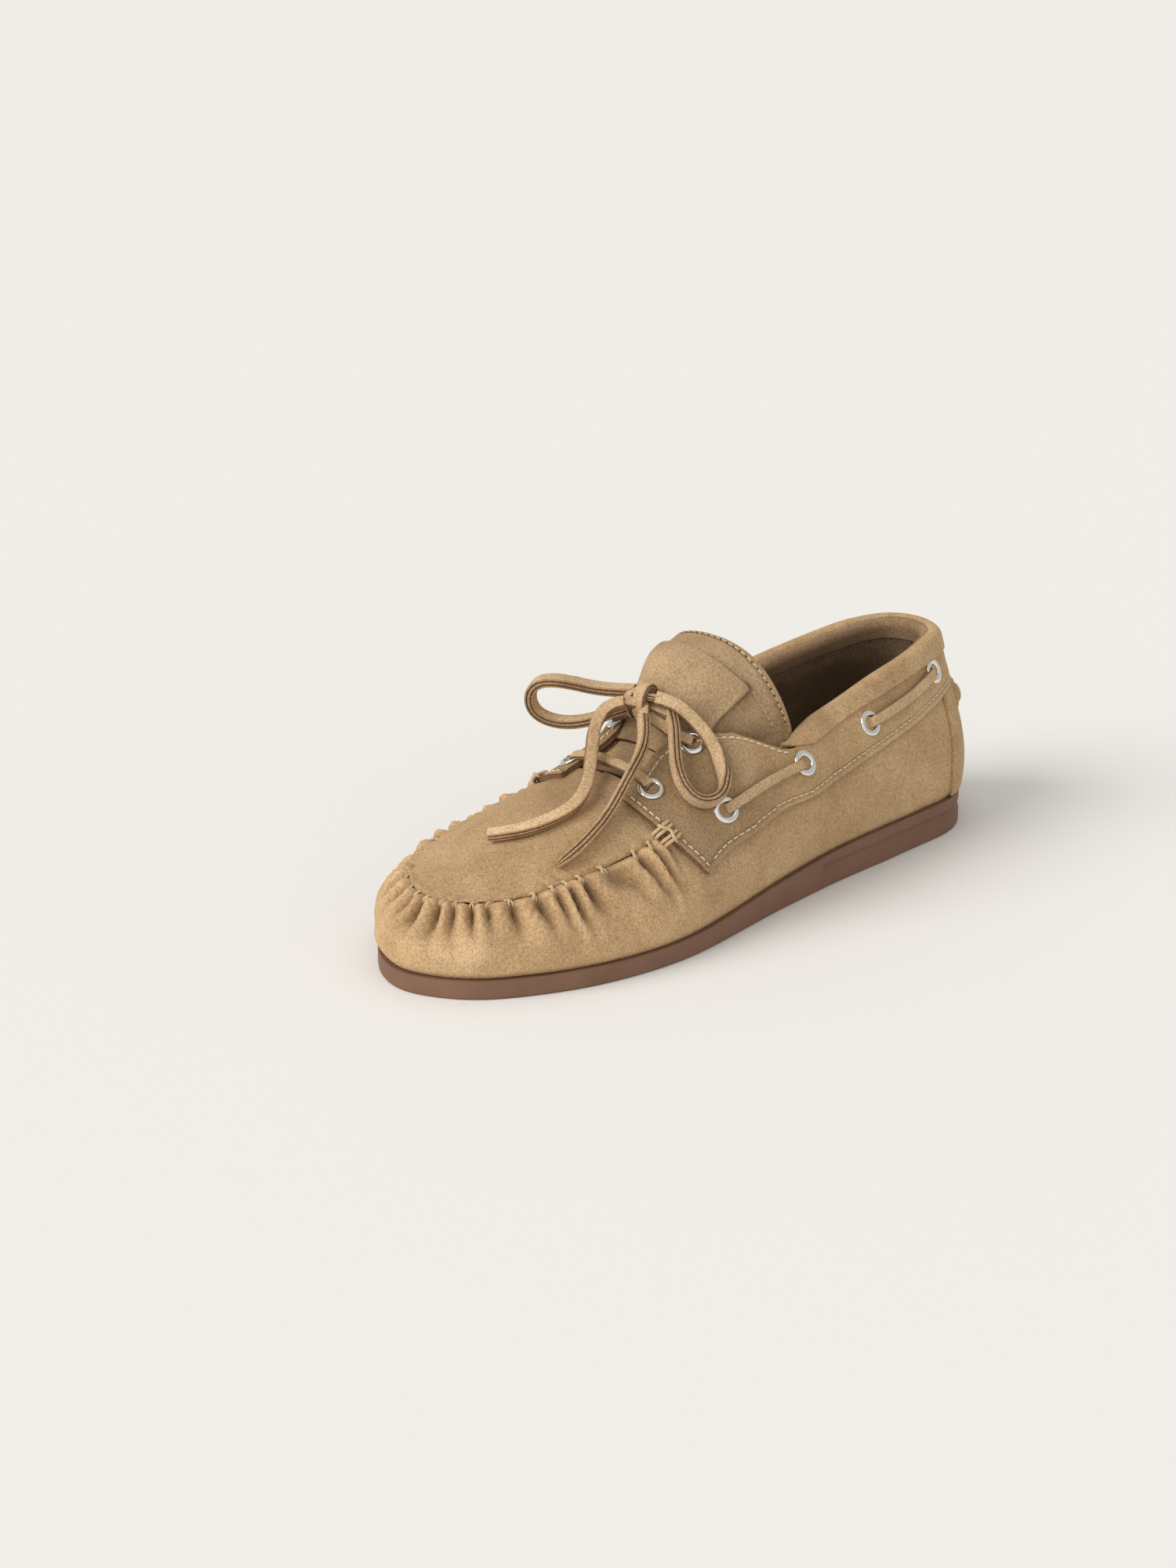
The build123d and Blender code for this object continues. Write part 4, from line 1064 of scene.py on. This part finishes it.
def route_line(points, name):
    """Points, in metres, read from the smooth line that follows a route in metres."""
    data = bpy.data.curves.new(name, "CURVE")
    data.dimensions = "3D"
    spline = data.splines.new("NURBS")
    spline.points.add(len(points) - 1)
    for p, q in zip(spline.points, points):
        p.co = (q[0] + SHIFT[0] * 0.001, q[1] + SHIFT[1] * 0.001, q[2], 1.0)
    spline.order_u = 3
    spline.use_endpoint_u = True
    spline.resolution_u = 7
    obj = bpy.data.objects.new(name, data)
    bpy.context.scene.collection.objects.link(obj)
    mesh = bpy.data.meshes.new_from_object(obj)
    line = np.array([v.co for v in mesh.vertices])
    bpy.data.objects.remove(obj)
    bpy.data.curves.remove(data)
    bpy.data.meshes.remove(mesh)
    return line


def in_millimetres(line):
    return line * 1000.0 - SHIFT


def short_run(points, name):
    """Line of a lace run given in millimetres."""
    return in_millimetres(route_line(np.asarray(points) * 0.001, name))


def turn_frames(path, hints):
    """Up directions along a path, mixed between hints given as (share, direction)."""
    s = np.linspace(0, 1, len(path))
    shares = [h[0] for h in hints]
    return np.stack([np.interp(s, shares, [h[1][c] for h in hints]) for c in range(3)], axis=1)


def strip(name, path, hints, body="shoe", width=4.3, thick=3.3, tip=(),
          shade=None):
    """Flat rawhide strip; its edges get the darker, cut colour, its grooves painted shade, and
    shade paints light or shade along its face.
    """
    section = strip_section(width, thick)
    pts, faces = tube(path, 1.0, up=turn_frames(path, hints), section=section, tip=tip)
    if shade is not None:
        shade = np.repeat(shade, len(section))
    obj = make_mesh(name, pts, faces, LACE, body=body, shade=shade)
    colour_strip(obj, (len(path) - 1) * len(section), len(section))
    return obj


KNOT = np.array([0.5, -19.0, 71.0])
LOOP_LATERAL = [
    (0.0061, -0.0193, 0.0740), (0.0108, -0.0163, 0.0730), (0.0156, -0.0128, 0.0684),
    (0.0215, -0.0115, 0.0636), (0.0268, -0.0120, 0.0590), (0.0318, -0.0130, 0.0534),
    (0.0350, -0.0160, 0.0486), (0.0356, -0.0215, 0.0462), (0.0332, -0.0270, 0.0468),
    (0.0284, -0.0290, 0.0512), (0.0234, -0.0272, 0.0566), (0.0190, -0.0234, 0.0620),
    (0.0146, -0.0194, 0.0663), (0.0090, -0.0156, 0.0687)]
LOOP_MEDIAL = [
    (-0.0047, -0.0186, 0.0736), (-0.0110, -0.0203, 0.0726), (-0.0175, -0.0240, 0.0726),
    (-0.0228, -0.0284, 0.0740), (-0.0276, -0.0326, 0.0750), (-0.0324, -0.0356, 0.0742),
    (-0.0358, -0.0364, 0.0706), (-0.0370, -0.0358, 0.0660), (-0.0360, -0.0340, 0.0618),
    (-0.0326, -0.0308, 0.0592), (-0.0276, -0.0272, 0.0586), (-0.0216, -0.0244, 0.0602),
    (-0.0145, -0.0232, 0.0636), (-0.0084, -0.0226, 0.0672), (-0.0047, -0.0220, 0.0690)]
TAIL_FRONT = [
    (-0.0016, -0.0263, 0.0722), (-0.0050, -0.0288, 0.0712), (-0.0072, -0.0322, 0.0678),
    (-0.0062, -0.0360, 0.0636), (-0.0028, -0.0400, 0.0596), (0.0012, -0.0448, 0.0550),
    (0.0054, -0.0504, 0.0510), (0.0086, -0.0572, 0.0481), (0.0100, -0.0656, 0.0465),
    (0.0088, -0.0742, 0.0450), (0.0052, -0.0822, 0.0434), (-0.0012, -0.0880, 0.0421)]
TAIL_SIDE = [
    (0.0054, -0.0246, 0.0688), (0.0088, -0.0272, 0.0652), (0.0118, -0.0310, 0.0618),
    (0.0144, -0.0356, 0.0592), (0.0164, -0.0414, 0.0558), (0.0180, -0.0484, 0.0500),
    (0.0202, -0.0560, 0.0455), (0.0224, -0.0646, 0.0424), (0.0240, -0.0731, 0.0396),
    (0.0239, -0.0810, 0.0370)]


def plane_normal(points):
    c = np.asarray(points) - np.mean(points, axis=0)
    return np.linalg.svd(c)[2][2]


def in_plane(path, points, twist):
    """Strip faces turned outward from a loop's middle, after a twist at its start."""
    axis = plane_normal(points)
    if axis[0] < 0:
        axis = -axis
    tangent = np.gradient(path, axis=0)
    tangent = tangent / np.linalg.norm(tangent, axis=1, keepdims=True)
    outward = np.cross(tangent, axis)
    share = np.linspace(0.0, 1.0, len(path))
    angle = (math.radians(twist) * (1.0 - smooth((share - 0.26) / 0.18)))[:, None]
    return outward * np.cos(angle) + axis * np.sin(angle)


# name, route, CAD node, real length in metres (from the CAD tube), far end, and either the turns
# of the strip's flat face or, for a loop, its twist in degrees along the first third
BOW = [
    ("bow_lateral", LOOP_LATERAL, "bow_loop_lateral", 0.0895, "object", 72.0),
    ("bow_medial", LOOP_MEDIAL, "bow_loop_medial", 0.0844, "object", 0.0),
    ("tail_front", TAIL_FRONT, "lace_tail_front", 0.0803, "bare",
     [(0.0, (0.2, -0.6, 0.8)), (0.3, (0.75, -0.55, 0.3)), (0.6, (0.5, -0.2, 0.9)),
      (1.0, (0.25, -0.15, 1.0))]),
    ("tail_side", TAIL_SIDE, "lace_tail_side", 0.0694, "bare",
     [(0.0, (-0.5, -0.4, 0.5)), (0.5, (-0.57, -0.34, 0.48)), (1.0, (-0.57, -0.34, 0.48))]),
]
TIPS = {"tail_front": (0.98, 0.95), "tail_side": (0.96, 0.88, 0.74, 0.55)}


def make_bow():
    for name, route, node, length, far_end, turns in BOW:
        line = route_line(route, name + "_line")
        path = in_millimetres(line)
        if far_end == "object":
            up = in_plane(path, route, turns)
            turns = [(k / 24.0, up[int(k / 24.0 * (len(path) - 1))]) for k in range(25)]
        share = np.linspace(0.0, 1.0, len(path))
        if far_end == "bare":
            # painted light: the bare tails' faces get lighter towards their free ends
            obj = strip(name, path, turns, width=4.1, thick=3.1, tip=TIPS[name],
                        shade=0.50 * smooth((share - 0.40) / 0.40))
        else:
            obj = strip(name, path, turns)
        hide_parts(node)


def oval_wrap(name, centre, deep, tall, width, thick, axis=(1.0, 0.0, 0.0), lean=0.0):
    """Strip wound round the knot."""
    angle = np.linspace(0, 2 * np.pi, 41)[:-1]
    axis = np.asarray(axis, float)
    axis = axis / np.linalg.norm(axis)
    u = np.cross([0, 0, 1.0], axis)
    u = u / np.linalg.norm(u)
    w = np.cross(axis, u)
    ring = [centre + deep * np.cos(a) * u + tall * np.sin(a) * w + lean * np.sin(a) * axis
            for a in angle]
    ring = np.array(ring)
    radial = ring - centre
    section = strip_section(width, thick)
    tangent = np.roll(ring, -1, axis=0) - np.roll(ring, 1, axis=0)
    tangent = tangent / np.linalg.norm(tangent, axis=1, keepdims=True)
    high = radial - (radial * tangent).sum(1, keepdims=True) * tangent
    high = high / np.linalg.norm(high, axis=1, keepdims=True)
    wide = np.cross(tangent, high)
    rows = [ring[i] + section[:, :1] * wide[i] + section[:, 1:] * high[i]
            for i in range(len(ring))]
    count = len(section)
    faces = []
    for i in range(len(ring)):
        j = (i + 1) % len(ring)
        for k in range(count):
            m = (k + 1) % count
            faces.append((i * count + k, i * count + m, j * count + m, j * count + k))
    obj = make_mesh(name, np.concatenate(rows), faces, LACE)
    colour_strip(obj, len(faces), count)
    return obj


def make_knot():
    wrap = oval_wrap("knot_wrap", KNOT + (0.3, 0, 0.2), 3.6, 5.6, 4.3, 2.4, (1.0, 0.12, 0.05),
                     0.5)
    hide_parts("knot")
    oval_wrap("knot_second", KNOT + (-3.9, -0.6, -1.2), 2.8, 4.0, 3.9, 2.2, (1.0, -0.35, 0.15),
              0.6)
    for name, points, up in (
            ("knot_core_upper", [(-7.0, -18.4, 73.3), (-3.0, -18.6, 73.2), (0.5, -18.9, 73.2),
                                 (4.0, -19.2, 73.6), (7.5, -18.6, 73.8)], (0.1, 0.2, 1)),
            ("knot_core_lower", [(-6.8, -22.2, 68.2), (-3.4, -21.3, 69.2), (0.5, -19.5, 69.4),
                                 (5.0, -17.5, 69.4), (10.5, -16.6, 68.2)], (0, -0.3, 1)),
            ("knot_core_front", [(-2.6, -25.4, 72.3), (-0.4, -23.4, 71.6), (1.5, -20.5, 70.6),
                                 (3.4, -22.0, 70.0), (5.9, -25.0, 68.3)], (0.2, -0.6, 0.8))):
        path = short_run(points, name + "_line")
        strip(name, path, [(0.0, up), (1.0, up)], width=3.7, thick=2.2)


def eyelet_exit(number, sign, height):
    t, v = EYELETS[number]
    return lay(t if sign > 0 else 1.0 - t, v, height)


def make_side_laces():
    for side, sign in (("lateral", 1.0), ("medial", -1.0)):
        for place, first, last in (("front", 2, 3), ("rear", 4, 5)):
            ta, va = EYELETS[first]
            tb, vb = EYELETS[last]
            points = []
            for share, height in ((0.0, -1.0), (0.02, 2.2), (0.10, 3.9), (0.5, 4.0),
                                  (0.90, 3.9), (0.98, 2.2), (1.0, -1.0)):
                t = ta + (tb - ta) * share
                v = va + (vb - va) * share - 0.02 * math.sin(math.pi * share)
                points.append(lay(t if sign > 0 else 1.0 - t, v, height))
            path = short_run(points, "run")
            mid = normal((ta if sign > 0 else 1.0 - ta), va)
            end = normal((tb if sign > 0 else 1.0 - tb), vb)
            along = (path[-1] - path[0]) / np.linalg.norm(path[-1] - path[0])
            hints = [(0.0, -along), (0.12, mid - 0.2 * along), (0.5, mid + end),
                     (0.88, end + 0.2 * along), (1.0, along)]
            obj = strip(f"side_lace_{place}_{side}", path, hints, width=3.7, thick=2.1)
            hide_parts(f"lace_side_{place}_{side}")


def make_throat_laces():
    bar = [eyelet_exit(0, 1, -0.4), eyelet_exit(0, 1, 3.6), np.array([12.5, -35.4, 53.8]),
           np.array([5.0, -35.8, 54.6]), np.array([-4.0, -35.8, 54.8]),
           np.array([-11.0, -35.6, 53.6]), eyelet_exit(0, -1, 3.6), eyelet_exit(0, -1, -0.4)]
    path = short_run(bar, "bar")
    obj = strip("throat_bar", path, [(0.0, (-1, 0, 0.2)), (0.15, (0.2, -0.4, 1)),
                                     (0.85, (-0.2, -0.4, 1)), (1.0, (1, 0, 0.2))],
                width=3.8, thick=2.0)
    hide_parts("lace_bar")
    for side, sign in (("lateral", 1.0), ("medial", -1.0)):
        pull = [eyelet_exit(1, sign, -0.4), eyelet_exit(1, sign, 3.4),
                np.array([sign * 14.5, -17.0, 62.2]), np.array([sign * 9.0, -18.4, 64.4]),
                np.array([sign * 3.0, -20.0, 67.6])]
        path = short_run(pull, "pull")
        obj = strip("throat_pull_" + side, path,
                    [(0.0, (-sign, 0, 0.2)), (0.2, (0.2 * sign, -0.6, 0.8)),
                     (1.0, (0, -0.7, 0.7))], width=3.8, thick=2.0)
        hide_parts("lace_pull_" + side)


make_bow()
make_knot()
make_side_laces()
make_throat_laces()


# ---- stitching -----------------------------------------------------------------------
def make_collar_stitches():
    for side, sign in (("lateral", 1.0), ("medial", -1.0)):
        tt, vv, g = collar_grid(sign, 260, 90)
        n = normal(tt, vv)
        low = np.linalg.norm(g - g[:, :1], axis=-1)
        pick = np.argmin(np.abs(low - 2.4), axis=1)
        rows = np.arange(g.shape[0])
        keep = rows < g.shape[0] - 5
        line = g[rows, pick][keep]
        norms = n[rows, pick][keep]
        front = np.linalg.norm(g - g[-1:, :], axis=-1)
        cols = np.arange(4, g.shape[1] - 1)
        pick2 = np.argmin(np.abs(front[:, cols] - 2.4), axis=0)
        line2 = g[pick2, cols]
        norms2 = n[pick2, cols]
        edge_rows = np.where((tt[:, -1] > 0.216) & (tt[:, -1] < 0.784))[0][:-8]
        high = g.shape[1] - 8
        parts = [stitch_row(line, norms, 2.8, 2.05, 0.29, 0.36, 3),
                 stitch_row(line2, norms2, 2.8, 2.05, 0.36, 0.40, 4),
                 stitch_row(g[edge_rows, high], n[edge_rows, high], 2.8, 2.05, 0.36, 0.35, 5)]
        pts, faces = join_parts(parts)
        make_mesh("collar_stitches_" + side, pts, faces, THREAD)


def stitch_hole_shade(line, normals, pitch, length):
    """Small near-black tubes between the stitches of a row: painted shade where the stitch holes
    are.
    """
    steps = np.linalg.norm(np.diff(line, axis=0), axis=1)
    s = np.concatenate([[0], np.cumsum(steps)])
    parts = []
    for k in range(int(s[-1] / pitch)):
        x = k * pitch + length + np.array([0.2, 0.8]) * (pitch - length)
        p = np.stack([np.interp(x, s, line[:, c]) for c in range(3)], axis=1)
        n = np.stack([np.interp(x, s, normals[:, c]) for c in range(3)], axis=1)
        parts.append(tube(p + 0.02 * n, 0.34, up=n[0], sides=8))
    return join_parts(parts)


def make_tongue_stitches():
    """A row along the tongue's rim, and a shorter one in front of it on both sides."""
    threads = []
    hole_shades = []
    for s_value, low, high, seed in ((5.72, -0.985, 0.985, 1), (5.00, 0.66, 0.985, 2),
                                     (5.00, -0.985, -0.66, 3)):
        f = np.linspace(low, high, 260)
        g, n = tongue_grid(np.full_like(f, s_value), f, rim_flare(s_value, f) - 0.1)
        threads.append(stitch_row(g, n, 2.8, 1.8, 0.34, 0.32, seed))
        if high > 0 > low:
            hole_shades.append(stitch_hole_shade(g, n, 2.8, 1.8))
    # the stitch holes are near-black tubes of painted shade
    for name, parts, material in (("tongue_stitches", threads, CORD_THREAD),
                                  ("tongue_stitch_hole_shade", hole_shades, PAINTED_SHADE_BROWN)):
        pts, faces = join_parts(parts)
        obj = make_mesh(name, pts, faces, material, body=None)
        bend_with_tongue(obj)


def apron_near(t, inward):
    """Point of the apron, inward millimetres from the seam at t."""
    if 0.444 < t < 0.556:
        a = (t - 0.444) / 0.112
        return apron_base(np.array(a), np.array(1.0 - inward / 90.0))
    near = min(t, 1.0 - t)
    b = (near - 0.312) / 0.132
    a = inward / 62.0
    return apron_base(np.array(a if t < 0.5 else 1.0 - a), np.array(b))


def make_seam_stitches():
    """Thick thread from every valley of the gathers over the seam to the apron."""
    parts = []
    ts = np.linspace(0.3225, 0.6775, 6000)
    values = pleat_phase(ts)
    rng = np.random.default_rng(6)
    for number in range(int(np.ceil(values[0])), int(np.floor(values[-1])) + 1):
        t = float(ts[np.argmin(np.abs(values - number))])
        top = float(seam_height(t))
        for twin in (-1.0, 1.0):
            skew = rng.uniform(0.0002, 0.0012) * twin
            wall = []
            for share, over in ((0.940, -0.7), (0.960, 0.15), (0.985, 0.35)):
                here = np.array(t + skew + 0.0004 * twin)
                deep = pleats(here, share * top) + lip(here, share * top)
                wall.append(lay(here, top * share, deep + over))
            inner = []
            for r, over in ((0.5, 0.75), (1.3, 0.40), (2.0, -0.8)):
                base = apron_near(t - skew, r)
                inner.append(base + np.array([0.0, 0.0, float(apron_edge(r, 0.0)) + over]))
            path = resample(np.array(wall + inner), 0.5)
            path = relax(path, 2)
            parts.append(tube(path, 0.42, up=normal(t, top), sides=8, taper=True))
    pts, faces = join_parts(parts)
    obj = make_mesh("seam_whip_stitches", pts, faces, CORD_THREAD)
    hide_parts("moc_seam_thread")


def over_edge(sign, b, back, ahead):
    """Thread over the front edge of an eyestay, from back to ahead of it."""
    t1, v1 = collar_map(np.array(1.0 - 0.030 * back), np.array(b))
    t0, v0 = collar_map(np.array(1.0), np.array(b))
    if sign < 0:
        t0, t1 = 1.0 - t0, 1.0 - t1
    beyond = t0 + (t0 - t1) * ahead
    line = [lay(t1, v1, COLLAR_OUT - 0.5), lay(t1, v1, COLLAR_OUT + 0.7),
            lay(t0, v0, COLLAR_OUT + 1.2), lay(beyond, v0, 2.2), lay(beyond, v0, -0.6)]
    path = resample(np.array(line), 0.5)
    path = relax(path, 3)
    return path, normal(t0, v0)


def make_bar_tacks():
    """Doubled thread loops over the front edge of each eyestay, wound round in the middle."""
    for side, sign in (("lateral", 1.0), ("medial", -1.0)):
        parts = []
        for number, b in enumerate((0.435, 0.535)):
            for twin in (-0.019, 0.019):
                path, up = over_edge(sign, b + twin, 0.55 + 0.1 * number, 1.0 - 0.2 * number)
                parts.append(tube(path, 0.60, up=up, sides=10))
        wound = []
        for k in range(31):
            t, v = collar_map(np.array(1.0), np.array(0.385 + 0.20 * k / 30.0))
            turn = k / 30.0 * 2.0 * math.pi * 1.5
            t = t + 0.0010 * math.sin(turn)
            over = COLLAR_OUT + 1.9 - 1.9 * (2.0 * k / 30.0 - 1.0) ** 6
            wound.append(lay(t if sign > 0 else 1.0 - t, v, over))
        parts.append(tube(np.array(wound), 0.55, up=up, sides=8, taper=True))
        pts, faces = join_parts(parts)
        obj = make_mesh("bar_tack_loops_" + side, pts, faces, CORD_THREAD)
        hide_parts("bar_tack_" + side)


make_collar_stitches()
make_tongue_stitches()
make_seam_stitches()
make_bar_tacks()

# CAD pieces that stay: the sole, the hidden stiffener and the laces in their tunnels
for key, material, slot in (("heel_stiffener", BROWN, "lining_leather"),
                            ("lace_tunnel_lateral", LACE, "rawhide"),
                            ("lace_tunnel_medial", LACE, "rawhide"),
                            ("lace_tunnel_heel", LACE, "rawhide"),
                            ("outsole", RUBBER, "rubber")):
    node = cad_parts[key]
    node.data.materials.clear()
    node.data.materials.append(material)


# ---- stage, light and camera ---------------------------------------------------------
def make_stage():
    data = bpy.data.meshes.new("floor")
    half = 6.0
    data.from_pydata([(-half, -half, 0), (half, -half, 0), (half, half, 0), (-half, half, 0)], [],
                     [(0, 1, 2, 3)])
    floor = bpy.data.objects.new("floor", data)
    bpy.context.scene.collection.objects.link(floor)
    m, _, shader = node_material("floor_pale")
    shader.inputs["Base Color"].default_value = (0.88, 0.870, 0.845, 1.0)
    shader.inputs["Roughness"].default_value = 0.9
    shader.inputs["Specular IOR Level"].default_value = 0.1
    data.materials.append(m)


def sun(name, direction, spread, strength, colour=(1.0, 1.0, 1.0)):
    """Broad even light from a direction, given as where it stands."""
    light = bpy.data.lights.new(name, "SUN")
    light.angle = math.radians(spread)
    light.energy = strength
    light.color = colour
    obj = bpy.data.objects.new(name, light)
    obj.rotation_euler = Vector(direction).to_track_quat("Z", "Y").to_euler()
    bpy.context.scene.collection.objects.link(obj)


def make_lights():
    world = bpy.data.worlds.new("studio")
    bpy.context.scene.world = world
    world.use_nodes = True
    back = world.node_tree.nodes["Background"]
    back.inputs["Color"].default_value = (1.0, 0.985, 0.955, 1.0)
    back.inputs["Strength"].default_value = 0.56
    sun("key", (-0.30, -1.00, 0.78), 40.0, 2.00, (1.0, 0.985, 0.96))
    sun("fill", (0.9, -0.5, 0.5), 70.0, 0.40)


def make_camera():
    azimuth, tilt, reach = math.radians(46.081), math.radians(20.490), 1.45177
    target = Vector((-0.093755 - 0.00204, 0.045754 - 0.00033, 0.0))
    back = Vector((math.sin(azimuth) * math.cos(tilt), -math.cos(azimuth) * math.cos(tilt),
                   math.sin(tilt)))
    data = bpy.data.cameras.new("camera")
    data.lens = 91.92
    data.sensor_width = 36.0
    data.clip_start = 0.05
    data.clip_end = 30.0
    obj = bpy.data.objects.new("camera", data)
    obj.location = target + back * reach
    obj.rotation_euler = (-back).to_track_quat("-Z", "Y").to_euler()
    bpy.context.scene.collection.objects.link(obj)
    bpy.context.scene.camera = obj


make_stage()
make_lights()
make_camera()
bpy.context.scene.view_settings.view_transform = "Standard"
bpy.context.scene.view_settings.look = "None"
